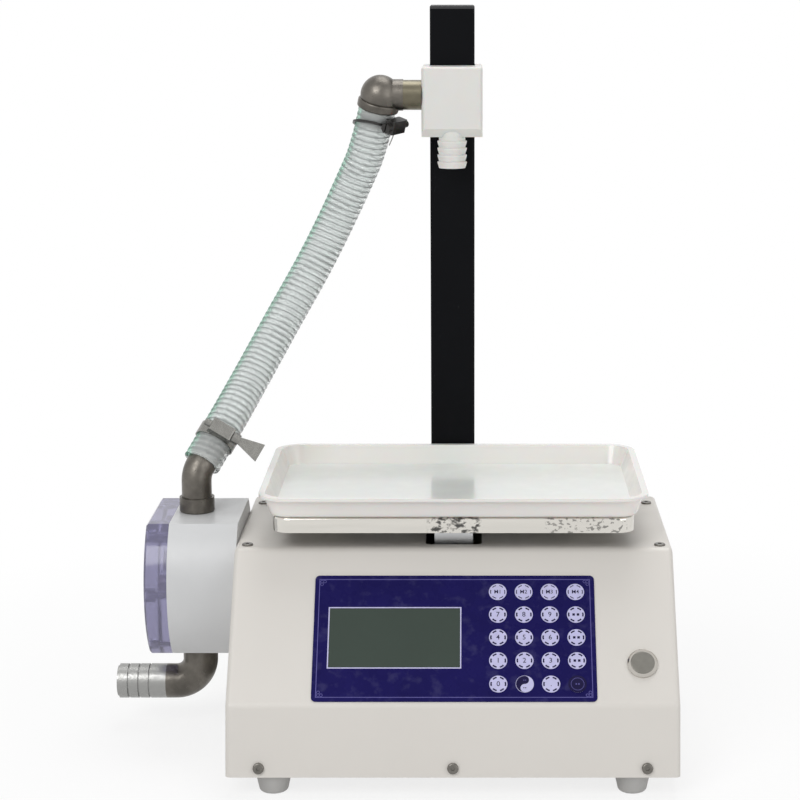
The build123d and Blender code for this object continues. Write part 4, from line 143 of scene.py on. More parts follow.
def srgb(red, green, blue):
    """A colour as a screen shows it, 0 to 255, in Blender's linear values."""
    shares = [value / 255 for value in (red, green, blue)]
    return tuple(c / 12.92 if c <= 0.04045 else ((c + 0.055) / 1.055) ** 2.4 for c in shares)


def shade(colour, factor):
    """The same colour, darker or lighter."""
    return tuple(min(1.0, c * factor) for c in colour)


# Properties that a user would change


def colour_property(label, words, red, green, blue):
    return bpy.props.FloatVectorProperty(
        name=label, description=words, subtype="COLOR", size=3, min=0.0, max=1.0,
        default=srgb(red, green, blue),
    )


def length_property(label, words, default):
    return bpy.props.FloatProperty(
        name=label, description=words, default=default, min=0.0, precision=5,
        subtype="DISTANCE", unit="LENGTH",
    )


def share_property(label, words, default):
    return bpy.props.FloatProperty(
        name=label, description=words, default=default, min=0.0, max=1.0, subtype="FACTOR",
    )


def power_property(label, words, default):
    return bpy.props.FloatProperty(
        name=label, description=words, default=default, min=0.0, subtype="POWER", unit="POWER",
    )


class FillerColours(bpy.types.PropertyGroup):
    ivory: colour_property("Case", "Powder coat of the sheet case", 217, 213, 207)
    zinc: colour_property("Zinc", "Plated screws and brackets", 176, 176, 172)
    screws: colour_property("Screws", "Heads of the case's screws", 112, 109, 104)
    feet: colour_property("Feet", "Grey rubber of the feet", 180, 179, 177)
    rubber: colour_property("Rubber", "Black rubber of seals and pads", 26, 26, 27)
    indigo: colour_property("Panel", "Printed film of the panel", 27, 23, 82)
    lilac: colour_property("Keys", "Embossed keys and lines", 192, 190, 226)
    rule: colour_property("Border", "Line round the panel", 94, 90, 152)
    ink: colour_property("Ink", "Dark print on the keys", 34, 30, 66)
    window: colour_property("Display", "Glass of the display", 60, 71, 64)
    plastic: colour_property("Plastic", "Dark moulded parts", 34, 34, 36)
    cap: colour_property("Button", "Cap of the push button", 122, 120, 114)
    bezel: colour_property("Bezel", "Bright ring of the push button", 188, 184, 177)
    red: colour_property("Switch", "Mains rocker", 176, 26, 24)
    aluminium: colour_property("Aluminium", "Machined scale and motor parts", 196, 197, 198)
    mirror: colour_property("Platter", "Polished steel of the pan", 214, 211, 204)
    tray: colour_property("Tray", "Moulded tray", 234, 232, 228)
    mast: colour_property("Mast", "Black satin paint", 10, 11, 14)
    block: colour_property("Block", "White plastic of block and nozzle", 226, 225, 221)
    pump: colour_property("Pump", "Machined white pump body", 208, 209, 210)
    acrylic: colour_property("Cover", "Tinted clear pump cover", 160, 157, 192)
    casting: colour_property("Fittings", "Cast stainless fittings", 104, 100, 94)
    neck: colour_property("Nipple", "Threaded nipple at the block", 108, 103, 88)
    steel: colour_property("Steel", "Polished shafts and gears, and the barb", 158, 158, 156)
    clamp: colour_property("Clamp", "Stainless steel of the lower clamp", 136, 135, 131)
    wire: colour_property("Wire", "Dark wire and screw of the upper clamp", 62, 61, 60)
    spiral: colour_property("Spiral", "Steel wire in the hose's wall", 116, 122, 122)
    bronze: colour_property("Bushes", "Sintered bronze", 170, 122, 70)
    clear: colour_property("Hose", "Clear wall of the hose", 248, 251, 250)
    # Hose line: painted edge tint, a green that stands for light's long path through the clear wall seen
    # edge-on
    green: colour_property("Hose line", "Green line in the hose's wall", 112, 206, 170)
    board: colour_property("Board", "Solder mask of the control board", 22, 92, 48)


class FillerHose(bpy.types.PropertyGroup):
    outer: length_property("Outer radius", "Radius over the ribs", 0.0155)
    bore: length_property("Bore radius", "Radius of the clear way", 0.0126)
    rib: length_property("Rib", "Height of the spiral rib", 0.00016)
    pitch: length_property("Pitch", "Distance between the spiral's turns", 0.0049)
    wire: length_property("Wire", "Radius of the steel wire", 0.00052)
    coil: length_property("Coil", "Radius of the spiral's middle line", 0.0141)
    # Line: the share of the way round that the painted green edge tint takes
    line: share_property("Line", "How much of the way round the green line takes", 0.14)
    sides: bpy.props.IntProperty(
        name="Sides", description="Faces round the hose", default=48, min=12)
    blend_from: length_property("Bends above", "Where the hose starts to follow the block", 0.045)
    blend_to: length_property(
        "Bends below", "How far under its top the hose rides with the block", 0.02)


class FillerPrint(bpy.types.PropertyGroup):
    ink: length_property("Ink", "Thickness of a printed shape", 0.00003)
    inset: length_property("Inset", "Border line's distance from the film's edge", 0.0034)
    line: length_property("Line", "Width of the border line", 0.0006)
    knot: length_property("Knot", "Radius of a loop in the corner knots", 0.0011)
    frame: length_property("Frame", "Width of the line round the display", 0.0009)
    dash: length_property("Dash", "Width of the dashes round a key", 0.00115)
    digit: length_property("Digit", "Height of a key's figure", 0.0040)
    word: length_property("Word", "Height of a top key's lettering", 0.0032)


class FillerStage(bpy.types.PropertyGroup):
    key: power_property("Key lamp", "Lamp at the front left", 28.5)
    fill: power_property("Fill lamp", "Lamp at the right", 10.5)
    top: power_property("Top lamp", "Lamp above", 17.0)
    room: bpy.props.FloatProperty(
        name="Room", description="Soft light from all round", default=0.35, min=0.0, max=1.0)
    floor: length_property("Floor", "Side of the floor", 12.0)
    veil: share_property("Veil", "How far the floor's shadow is weakened beside the machine", 0.8)
    near: length_property("Near", "Distance at which the floor starts to turn plain white", 0.2)
    far: length_property("Far", "Distance from which the floor is plain white", 0.7)


# Meshes


def new_piece(name, mesh, material):
    """A mesh object in the scene, with its finish."""
    piece = bpy.data.objects.new(name, mesh)
    bpy.context.scene.collection.objects.link(piece)
    mesh.materials.append(material)
    return piece


def mesh_of(shape, name):
    """The finished mesh of a bmesh, flat shaded and with its normals outward."""
    bmesh.ops.recalc_face_normals(shape, faces=shape.faces)
    for face in shape.faces:
        face.smooth = False
    mesh = bpy.data.meshes.new(name)
    shape.to_mesh(mesh)
    shape.free()
    return mesh


def mesh_from(curve):
    """The mesh of a curve or of lettering, which is taken away."""
    carrier = bpy.data.objects.new(curve.name, curve)
    bpy.context.scene.collection.objects.link(carrier)
    bpy.context.view_layer.update()
    mesh = bpy.data.meshes.new_from_object(carrier)
    bpy.data.objects.remove(carrier)
    bpy.data.curves.remove(curve)
    return mesh


def spline_points(name, route):
    """The points along a smooth line of order 3 through the route's control points."""
    curve = bpy.data.curves.new(name, "CURVE")
    curve.dimensions = "3D"
    line = curve.splines.new("NURBS")
    line.points.add(len(route) - 1)
    for point, place in zip(line.points, route):
        point.co = (*place, 1)
    line.order_u = 3
    line.use_endpoint_u = True
    line.resolution_u = ROUTE_STEPS
    mesh = mesh_from(curve)
    points = [v.co.copy() for v in mesh.vertices]
    bpy.data.meshes.remove(mesh)
    return points


def on_circle(x, y, radius, angle):
    return x + radius * math.cos(angle), y + radius * math.sin(angle)


class Line:
    """A line of points, its length, and two sideways vectors carried along it without twist."""

    def __init__(self, points, toward):
        self.points = points
        self.travel = [0.0]
        for a, b in zip(points, points[1:]):
            self.travel.append(self.travel[-1] + (b - a).length)
        last = len(points) - 1
        self.along = [
            (points[min(i + 1, last)] - points[max(i - 1, 0)]).normalized() for i in range(last + 1)
        ]
        out = Vector(toward)
        self.out = []
        for along in self.along:
            out = (out - along * out.dot(along)).normalized()
            self.out.append(out)
        self.side = [a.cross(o) for a, o in zip(self.along, self.out)]
        self.length = self.travel[-1]

    def beside(self, centre, i, radius, angle):
        """The point at that radius and angle round a centre near point i."""
        outward = self.out[i] * (radius * math.cos(angle))
        return centre + outward + self.side[i] * (radius * math.sin(angle))

    def ring(self, i, radius_at, sides):
        """The points of one ring round point i."""
        for k in range(sides):
            angle = TURN * k / sides
            yield self.beside(self.points[i], i, radius_at(self.travel[i], angle), angle)

    def helix(self, radius, pitch, steps, margin):
        """Points of a helix round the line, between the margins at its ends."""
        found, i = [], 0
        count = int((self.length - 2 * margin) / pitch * steps)
        for n in range(count + 1):
            s = margin + n * pitch / steps
            while i < len(self.travel) - 2 and self.travel[i + 1] < s:
                i += 1
            t = (s - self.travel[i]) / (self.travel[i + 1] - self.travel[i])
            centre = self.points[i].lerp(self.points[i + 1], t)
            found.append(self.beside(centre, i, radius, TURN * s / pitch))
        return found


def tube_mesh(name, line, sides, outer, bore=None):
    """A tube round a line: solid with flat ends, or hollow with a bore."""
    places, faces = [], []
    count = len(line.points)
    for i in range(count):
        places += line.ring(i, outer, sides)
    if bore:
        for i in reversed(range(count)):
            places += line.ring(i, bore, sides)
    rings = len(places) // sides
    for i in range(rings if bore else rings - 1):
        a, b = i * sides, (i + 1) % rings * sides
        for k in range(sides):
            n = (k + 1) % sides
            faces.append((a + k, a + n, b + n, b + k))
    if not bore:
        faces.append(tuple(reversed(range(sides))))
        faces.append(tuple(range((rings - 1) * sides, rings * sides)))
    mesh = bpy.data.meshes.new(name)
    mesh.from_pydata(places, [], faces)
    for face in mesh.polygons:
        face.use_smooth = True
    return mesh


class Print:
    """Thin closed shapes on one flat face, set out by a function from (x, y, lift) to a point."""

    def __init__(self, place, low, high):
        self.shape = bmesh.new()
        self.place = place
        self.low = low
        self.high = high

    def patch(self, outline):
        """A filled outline."""
        bottom = [self.shape.verts.new(self.place(x, y, self.low)) for x, y in outline]
        top = [self.shape.verts.new(self.place(x, y, self.high)) for x, y in outline]
        self.shape.faces.new(reversed(bottom))
        self.shape.faces.new(top)
        for i in range(len(outline)):
            n = (i + 1) % len(outline)
            self.shape.faces.new((bottom[i], bottom[n], top[n], top[i]))

    def disc(self, x, y, radius, steps=32):
        self.patch([on_circle(x, y, radius, TURN * i / steps) for i in range(steps)])

    def arc(self, x, y, radius, width, start=0.0, sweep=TURN, steps=24):
        """A band along an arc, or a whole ring."""
        closed = sweep >= TURN
        around = [start + sweep * i / steps for i in range(steps if closed else steps + 1)]
        self.band([on_circle(x, y, radius, angle) for angle in around], width, closed)

    def band(self, points, width, closed=False):
        """A band of even width along a run of points."""
        count = len(points)
        rows = []
        for i, (x, y) in enumerate(points):
            before = points[i - 1] if closed or i else points[i]
            after = points[(i + 1) % count] if closed or i < count - 1 else points[i]
            first = Vector((x - before[0], y - before[1]))
            second = Vector((after[0] - x, after[1] - y))
            first = first.normalized() if first.length else second.normalized()
            second = second.normalized() if second.length else first
            across = Vector((-(first + second).y, (first + second).x)).normalized()
            half = width / 2 / max(MITRE_LIMIT, across.dot(Vector((-first.y, first.x))))
            step_x, step_y = across.x * half, across.y * half
            sides = ((x + step_x, y + step_y), (x - step_x, y - step_y))
            rows.append([
                self.shape.verts.new(self.place(*p, lift))
                for lift in (self.low, self.high) for p in sides
            ])
        steps = range(count if closed else count - 1)
        for i in steps:
            a, b = rows[i], rows[(i + 1) % count]
            for j, k in ((0, 1), (1, 3), (3, 2), (2, 0)):
                self.shape.faces.new((a[j], a[k], b[k], b[j]))
        if not closed:
            for row in (rows[0], rows[-1]):
                self.shape.faces.new((row[0], row[1], row[3], row[2]))

    def words(self, text, x, y, height):
        """Lettering, centred on a point."""
        curve = bpy.data.curves.new("legend", "FONT")
        curve.body = text
        curve.size = height * LETTER_SIZE
        curve.align_x = "CENTER"
        curve.align_y = "CENTER"
        curve.resolution_u = 4
        curve.offset = height * 0.008
        curve.extrude = 1.0
        mesh = mesh_from(curve)
        for v in mesh.vertices:
            lift = self.high if v.co.z > 0 else self.low
            v.co = self.place(x + v.co.x, y + v.co.y, lift)
        self.shape.from_mesh(mesh)
        bpy.data.meshes.remove(mesh)

    def finish(self, name):
        bmesh.ops.remove_doubles(self.shape, verts=self.shape.verts, dist=1e-7)
        return mesh_of(self.shape, name)


# Finishes


def start_finish(name):
    material = bpy.data.materials.new(name)
    material.use_nodes = True
    tree = material.node_tree
    return material, tree, tree.nodes["Principled BSDF"]


def noise(tree, scale, detail=3.0, stretch=(1, 1, 1)):
    """Noise in the object's own coordinates, with scale lumps to the metre."""
    place = tree.nodes.new("ShaderNodeTexCoord")
    mapping = tree.nodes.new("ShaderNodeMapping")
    texture = tree.nodes.new("ShaderNodeTexNoise")
    mapping.inputs["Scale"].default_value = stretch
    texture.inputs["Scale"].default_value = scale
    texture.inputs["Detail"].default_value = detail
    tree.links.new(place.outputs["Object"], mapping.inputs["Vector"])
    tree.links.new(mapping.outputs["Vector"], texture.inputs["Vector"])
    return texture.outputs["Fac"]


def along_axis(tree, axis):
    """The place along X, Y or Z in the object's own coordinates."""
    place = tree.nodes.new("ShaderNodeTexCoord")
    axes = tree.nodes.new("ShaderNodeSeparateXYZ")
    tree.links.new(place.outputs["Object"], axes.inputs[0])
    return axes.outputs[axis]


def spread(tree, source, low, high, start=0.3, end=0.7):
    """A value from start to end, stretched to low to high."""
    node = tree.nodes.new("ShaderNodeMapRange")
    for name, value in (("From Min", start), ("From Max", end), ("To Min", low), ("To Max", high)):
        node.inputs[name].default_value = value
    tree.links.new(source, node.inputs["Value"])
    return node.outputs["Result"]


def combined(tree, operation, first, second):
    node = tree.nodes.new("ShaderNodeMath")
    node.operation = operation
    tree.links.new(first, node.inputs[0])
    tree.links.new(second, node.inputs[1])
    return node.outputs[0]


def times(tree, first, second):
    return combined(tree, "MULTIPLY", first, second)


def larger(tree, first, second):
    return combined(tree, "MAXIMUM", first, second)


def mixed(tree, factor, first, second):
    """Two colours or sockets, mixed by a factor. Inputs 6 and 7 take them and output 2 gives the mix."""
    node = tree.nodes.new("ShaderNodeMix")
    node.data_type = "RGBA"
    tree.links.new(factor, node.inputs[0])
    for socket, value in ((node.inputs[6], first), (node.inputs[7], second)):
        if isinstance(value, bpy.types.NodeSocket):
            tree.links.new(value, socket)
        else:
            socket.default_value = (*value, 1)
    return node.outputs[2]


def relief(tree, shader, height, depth):
    """Small relief of that depth in metres."""
    bump = tree.nodes.new("ShaderNodeBump")
    bump.inputs["Distance"].default_value = depth
    bump.inputs["Strength"].default_value = 1.0
    tree.links.new(height, bump.inputs["Height"])
    tree.links.new(bump.outputs["Normal"], shader.inputs["Normal"])


def finish(name, colour, roughness, metallic=0.0, mottle=0.04, mottle_scale=24.0, uneven=0.06,
           grain=0.00002, grain_scale=1500.0, stretch=(1, 1, 1), **sockets):
    """A finish with a faintly mottled colour, uneven gloss and a fine grain, at their real scale."""
    material, tree, shader = start_finish(name)
    cloud = noise(tree, mottle_scale, 4.0, stretch)
    tint = spread(tree, cloud, 0.0, 1.0)
    tree.links.new(mixed(tree, tint, shade(colour, 1 - mottle), shade(colour, 1 + mottle)),
                   shader.inputs["Base Color"])
    gloss = spread(tree, noise(tree, mottle_scale * 5, 3.0, stretch),
                   max(0.02, roughness - uneven), roughness + uneven)
    tree.links.new(gloss, shader.inputs["Roughness"])
    relief(tree, shader, noise(tree, grain_scale, 2.0, stretch), grain)
    shader.inputs["Metallic"].default_value = metallic
    for socket, value in sockets.items():
        shader.inputs[socket.replace("_", " ")].default_value = value
    return material


def dress(material, *names):
    """Gives carried-over parts their finish."""
    for name in names:
        for place in frame["nodes"][name].material_slots:
            place.material = material


# The panel's own plane, from the push button's axis and the film itself


def reach(name, axis):
    """The lowest and highest place of a part along an axis."""
    found = [v.co.dot(axis) for v in frame["nodes"][name].data.vertices]
    return min(found), max(found)


class PanelFace:
    """The film's outer face: its middle, half sizes, and right, up and outward axes."""

    def __init__(self):
        press = next(j for j in frame["joints"] if j["name"] == "button_press")
        self.out = -Vector(press["axis"]).normalized()
        self.right = Vector((1, 0, 0))
        self.up = self.out.cross(self.right)
        left, right = reach("panel_overlay", self.right)
        low, high = reach("panel_overlay", self.up)
        self.x, self.y = (left + right) / 2, (low + high) / 2
        self.half_width, self.half_height = (right - left) / 2, (high - low) / 2
        self.face = reach("panel_overlay", self.out)[1]
        self.keys = reach("panel_keys", self.out)[1]

    def place(self, x, y, lift):
        return self.right * (self.x + x) + self.up * (self.y + y) + self.out * lift

    def middle(self, name):
        """A part's middle and half sizes, measured on this face from its own middle."""
        left, right = reach(name, self.right)
        low, high = reach(name, self.up)
        x, y = (left + right) / 2 - self.x, (low + high) / 2 - self.y
        return x, y, (right - left) / 2, (high - low) / 2


# The pieces


def make_camera():
    lens = bpy.data.cameras.new("camera")
    lens.sensor_width = 36.0
    lens.lens = CAMERA_LENS
    lens.shift_x = CAMERA_SHIFT
    camera = bpy.data.objects.new("camera", lens)
    camera.location = CAMERA_PLACE
    camera.rotation_euler = (CAMERA_TILT, 0, 0)
    bpy.context.scene.collection.objects.link(camera)
    bpy.context.scene.camera = camera


def clear_wall_finish(colours):
    """Clear plastic, with a painted green edge tint, for light's long path through the wall, where the
    mesh's own "line" says so.
    """
    material, tree, shader = start_finish("clear_hose_wall")
    line = tree.nodes.new("ShaderNodeAttribute")
    line.attribute_name = "line"
    cloud = spread(tree, noise(tree, 60.0, 4.0), 0.0, 1.0)
    wall = mixed(tree, cloud, shade(colours.clear, 0.96), colours.clear)
    # The wall turns green where the painted edge tint's mask says so
    tint = mixed(tree, line.outputs["Fac"], wall, colours.green)
    tree.links.new(tint, shader.inputs["Base Color"])
    tree.links.new(spread(tree, noise(tree, 220.0), 0.08, 0.18), shader.inputs["Roughness"])
    relief(tree, shader, noise(tree, 900.0), 0.00002)
    shader.inputs["IOR"].default_value = 1.15
    shader.inputs["Transmission Weight"].default_value = 0.7
    return material


def make_hose(hose, colours):
    line = Line(spline_points("hose_route", HOSE_ROUTE), HOSE_TINT_SIDE)

    def outer(travel, angle):
        return hose.outer - hose.rib * (1 - math.cos(TURN * travel / hose.pitch - angle))

    mesh = tube_mesh("clear_hose", line, hose.sides, outer, lambda travel, angle: hose.bore)
    # The painted edge tint's mask: full on the tint side, fading to nothing round the tube
    green = mesh.attributes.new("line", "FLOAT", "POINT")
    half = hose.line * math.pi
    for v, datum in enumerate(green.data):
        angle = TURN * (v % hose.sides) / hose.sides
        away = min(angle, TURN - angle)
        datum.value = max(0.0, 1 - (away / half) ** 2)
    tube = new_piece("clear_hose", mesh, clear_wall_finish(colours))
    coil = Line(line.helix(hose.coil, hose.pitch, COIL_STEPS, hose.pitch), (0, 0, 1))
    wire_mesh = tube_mesh("hose_spiral", coil, COIL_SIDES, lambda travel, angle: hose.wire)
    wire_finish = finish("spiral_wire", colours.spiral, 0.36, metallic=0.9, mottle=0.1,
                         mottle_scale=200.0)
    wire = new_piece("hose_spiral", wire_mesh, wire_finish)
    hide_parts("hose")
    [tuple(p) for p in line.points]
    for piece in (tube, wire):
        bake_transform(piece)


def finish_case(colours):
    coat = finish("ivory_powder_coat", colours.ivory, 0.42, mottle=0.012, mottle_scale=9.0,
                  uneven=0.05, grain=0.00003, grain_scale=850.0)
    dress(coat, "housing_shell", "base_plate", "rear_panel")


def finish_fixings(colours):
    zinc = finish("zinc_plate", colours.zinc, 0.34, metallic=0.9, mottle=0.09, mottle_scale=160.0)
    rubber = finish("grey_foot_rubber", colours.feet, 0.6, mottle=0.05, mottle_scale=70.0,
                    grain=0.00006, grain_scale=900.0)
    heads = finish("screw_head_steel", colours.screws, 0.3, metallic=0.9, mottle=0.14,
                   mottle_scale=260.0)
    dress(zinc, "foot_screws", "load_cell_bolts", "mast_bolts", "pump_screws", "mast_bracket",
          "load_cell_stand")
    dress(heads, "front_screws", "top_screws", "rear_screws", "cover_bolts")
    dress(rubber, "rubber_feet")


def film_finish(colours):
    """Indigo film, with paler clouds printed in it that thin out to nothing."""
    material, tree, shader = start_finish("indigo_film")
    field = mixed(tree, spread(tree, noise(tree, 30.0), 0.0, 1.0), shade(colours.indigo, 0.9),
                  shade(colours.indigo, 1.1))
    clouds = spread(tree, noise(tree, 110.0, 8.0), 0.0, 0.035, 0.54, 0.7)
    tree.links.new(mixed(tree, clouds, field, colours.lilac), shader.inputs["Base Color"])
    tree.links.new(spread(tree, noise(tree, 120.0), 0.22, 0.34), shader.inputs["Roughness"])
    relief(tree, shader, noise(tree, 1800.0), 0.00001)
    shader.inputs["Specular IOR Level"].default_value = 0.05
    return material


def print_border(face, prints, low, high):
    """The line round the film with a knot of loops in each corner, and the display's frame."""
    border = Print(face.place, low, high)
    x = face.half_width - prints.inset
    y = face.half_height - prints.inset
    border.band([(x, y), (-x, y), (-x, -y), (x, -y)], prints.line, closed=True)
    loop = prints.knot
    for sx in (-1, 1):
        for sy in (-1, 1):
            for dx, dy in KNOT_LOOPS:
                border.arc(sx * (x - dx * loop), sy * (y - dy * loop), loop, prints.line * 0.7)
    window = Print(face.place, low, high)
    wx, wy, half_w, half_h = face.middle("display_window")
    half_w += prints.frame / 2
    half_h += prints.frame / 2
    corners = ((1, 1), (-1, 1), (-1, -1), (1, -1))
    window.band([(wx + sx * half_w, wy + sy * half_h) for sx, sy in corners], prints.frame,
                closed=True)
    return border.finish("panel_border"), window.finish("display_frame")


def swirl(radius, steps=16):
    """Half of a round swirl: a comma with a round head and a pointed tail."""
    quarter, half = TURN / 4, radius / 2
    step = math.pi / steps
    big = [(quarter + step * i, radius, 0.0) for i in range(steps + 1)]
    tail = [(-quarter + step * i, half, -half) for i in range(1, steps + 1)]
    head = [(-quarter - step * i, half, half) for i in range(1, steps)]
    return [on_circle(0.0, y, r, angle) for angle, r, y in big + tail + head]


def pair(ink, x, y, size):
    """Two small blocks side by side."""
    for side in (-1, 1):
        middle = x + side * size * 0.85
        ink.band([(middle - size / 2, y), (middle + size / 2, y)], size)


def print_keys(face, prints, low, high):
    """The dark dashes and figures on the keys, and the lines on the one dark key."""
    dark = Print(face.place, low, high)
    light = Print(face.place, high, high + (high - low))
    kx, ky, half_w, half_h = face.middle("panel_keys")
    radius = KEY_RADIUS
    across = (half_w - radius) * 2 / (len(KEY_LEGENDS[0]) - 1)
    down = (half_h - radius) * 2 / (len(KEY_LEGENDS) - 1)
    for r, row in enumerate(KEY_LEGENDS):
        for c, legend in enumerate(row):
            x = kx - half_w + radius + c * across
            y = ky + half_h - radius - r * down
            if legend == "disc":
                dark.disc(x, y, radius * DISC_SHARE)
                light.arc(x, y, radius * RING_SHARE, prints.dash * 0.3)
                pair(light, x, y, prints.dash)
                continue
            if legend == "swirl":
                dark.patch([(x + px, y - py) for px, py in swirl(radius * SWIRL_SHARE)])
                pair(light, x, y + radius * SWIRL_EYE_SHARE, prints.dash * 0.7)
                pair(dark, x, y - radius * SWIRL_EYE_SHARE, prints.dash * 0.7)
                continue
            dashes = prints.dash * (0.6 if r == 0 else 1.0)
            for i in range(DASHES):
                start = TURN * i / DASHES - DASH_SWEEP / 2
                dark.arc(x, y, radius * DASH_RING_SHARE, dashes, start, DASH_SWEEP, 5)
            if legend == "blocks":
                pair(dark, x, y, prints.dash * 1.7)
            else:
                dark.words(legend, x, y, prints.word if r == 0 else prints.digit)
    return dark.finish("key_print"), light.finish("key_lines")


def make_panel(prints, colours):
    face = PanelFace()
    dress(film_finish(colours), "panel_overlay")
    lilac = finish("lilac_print", colours.lilac, 0.4, mottle=0.05, mottle_scale=160.0, uneven=0.05)
    ink = finish("dark_key_ink", colours.ink, 0.45, mottle=0.1, mottle_scale=260.0, uneven=0.05,
                 Specular_IOR_Level=0.05)
    glass = finish("display_glass", colours.window, 0.16, mottle=0.03, mottle_scale=20.0,
                   uneven=0.04, grain=0.000004, Specular_IOR_Level=0.2)
    dress(lilac, "panel_keys")
    dress(glass, "display_window")
    rule = finish("border_print", colours.rule, 0.4, mottle=0.12, mottle_scale=90.0,
                  Specular_IOR_Level=0.15)
    edge, window = print_border(face, prints, face.face, face.face + prints.ink)
    border = new_piece("panel_border", edge, rule)
    window_line = new_piece("display_frame", window, lilac)
    dark, light = print_keys(face, prints, face.keys, face.keys + prints.ink)
    figures = new_piece("key_print", dark, ink)
    lines = new_piece("key_lines", light, rule)
    for piece in (border, window_line, figures, lines):
        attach(piece, "machine")


def finish_button(colours):
    ring = finish("button_bezel", colours.bezel, 0.14, metallic=1.0, mottle=0.03,
                  mottle_scale=120.0, uneven=0.05, grain=0.000005)
    cap = finish("button_cap_satin", colours.cap, 0.34, metallic=0.85, mottle=0.06,
                 mottle_scale=220.0)
    dress(ring, "button_housing")
    dress(cap, "button_cap")


def mirror_finish(colours):
    """Polished steel, with painted reflections: dark patches on its front skirt at the mast and towards
    the right.
    """
    material, tree, shader = start_finish("platter_mirror")
    shader.inputs["Metallic"].default_value = 1.0
    across = along_axis(tree, "X")
    low = Vector(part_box("weighing_platter")[0])
    front = spread(tree, along_axis(tree, "Y"), 1.0, 0.0, low.y + 1.5 * MM, low.y + 3 * MM)
    painted_reflections = None
    # Each painted reflection is a lumpy dark patch between its ends along X, on the front skirt only
    for left, right, strength, scale, shows_from in SKIRT_PAINTED_REFLECTIONS:
        after = spread(tree, across, 0.0, strength, left, left + PAINTED_REFLECTION_EDGE)
        before = spread(tree, across, 1.0, 0.0, right, right + PAINTED_REFLECTION_EDGE)
        lumps = spread(tree, noise(tree, scale, 4.0, (1, 1, 1.6)), 0.0, 1.0, shows_from, 0.62)
        patch = times(tree, times(tree, after, before), times(tree, lumps, front))
        painted_reflections = patch if painted_reflections is None else larger(tree, painted_reflections, patch)
    cloud = spread(tree, noise(tree, 40.0, 3.0, (0.25, 4, 4)), 0.0, 1.0)
    steel = mixed(tree, cloud, shade(colours.mirror, 0.95), shade(colours.mirror, 1.03))
    # The painted reflections pull the steel towards the dark plastic colour
    tree.links.new(mixed(tree, painted_reflections, steel, colours.plastic), shader.inputs["Base Color"])
    tree.links.new(spread(tree, noise(tree, 200.0), 0.06, 0.14), shader.inputs["Roughness"])
    relief(tree, shader, noise(tree, 500.0, 2.0, (0.25, 4, 4)), 0.00001)
    return material


def finish_scale(colours):
    mirror = mirror_finish(colours)
    moulded = finish("moulded_tray", colours.tray, 0.2, mottle=0.012, mottle_scale=12.0,
                     uneven=0.05, grain=0.00001, grain_scale=300.0, Subsurface_Weight=0.2,
                     Subsurface_Scale=0.01, Coat_Weight=0.2, Coat_Roughness=0.08)
    metal = finish("machined_aluminium", colours.aluminium, 0.32, metallic=1.0, mottle=0.05,
                   mottle_scale=50.0, stretch=(0.2, 3, 3))
    pads = finish("black_pad_rubber", colours.rubber, 0.62, mottle=0.15, mottle_scale=120.0)
    dress(mirror, "weighing_platter")
    dress(moulded, "product_tray")
    dress(metal, "load_cell", "load_cell_riser", "load_cell_spacer", "platter_spider")
    dress(pads, "platter_pads", "cover_seal", "shaft_seal")


def finish_pump(colours):
    body = finish("white_pump_body", colours.pump, 0.36, mottle=0.02, mottle_scale=30.0,
                  grain=0.00004, grain_scale=700.0)
    cover = finish("tinted_cover", colours.acrylic, 0.08, mottle=0.03, mottle_scale=25.0,
                   uneven=0.03, grain=0.000004, IOR=1.49, Transmission_Weight=0.62)
    dress(body, "pump_body")
    dress(cover, "pump_cover")


def finish_drive(colours):
    metal = finish("ground_steel", colours.steel, 0.24, metallic=1.0, mottle=0.05,
                   mottle_scale=110.0, stretch=(3, 1, 1))
    bronze = finish("bush_bronze", colours.bronze, 0.42, metallic=1.0, mottle=0.12,
                    mottle_scale=400.0)
    paint = finish("motor_black", colours.plastic, 0.42, mottle=0.12, mottle_scale=60.0)
    soft = finish("motor_aluminium", colours.aluminium, 0.38, metallic=1.0, mottle=0.06,
                  mottle_scale=60.0)
    dress(metal, "drive_gear", "driven_gear", "drive_shaft", "driven_shaft", "motor_shaft")
    dress(bronze, "shaft_bushes")
    dress(paint, "motor")
    dress(soft, "motor_lantern", "shaft_coupling")


def cast_finish(colours):
    """Cast stainless, grey and uneven, and turned bright on the inlet's barb."""
    material, tree, shader = start_finish("cast_stainless")
    shader.inputs["Metallic"].default_value = 0.92
    cloud = spread(tree, noise(tree, 70.0, 5.0), 0.0, 1.0)
    rough_cast = mixed(tree, cloud, shade(colours.casting, 0.72), shade(colours.casting, 1.3))
    turned = spread(tree, along_axis(tree, "X"), 1.0, 0.0, BARB_END - 0.5 * MM, BARB_END)
    tree.links.new(mixed(tree, turned, rough_cast, colours.steel), shader.inputs["Base Color"])
    tree.links.new(spread(tree, noise(tree, 300.0, 4.0), 0.26, 0.46), shader.inputs["Roughness"])
    relief(tree, shader, noise(tree, 420.0, 3.0), 0.00014)
    return material


def finish_fittings(colours):
    cast = cast_finish(colours)
    neck = finish("nipple_brass", colours.neck, 0.34, metallic=0.95, mottle=0.12,
                  mottle_scale=110.0)
    dress(cast, "outlet_elbow", "inlet_elbow", "top_elbow")
    dress(neck, "top_nipple")


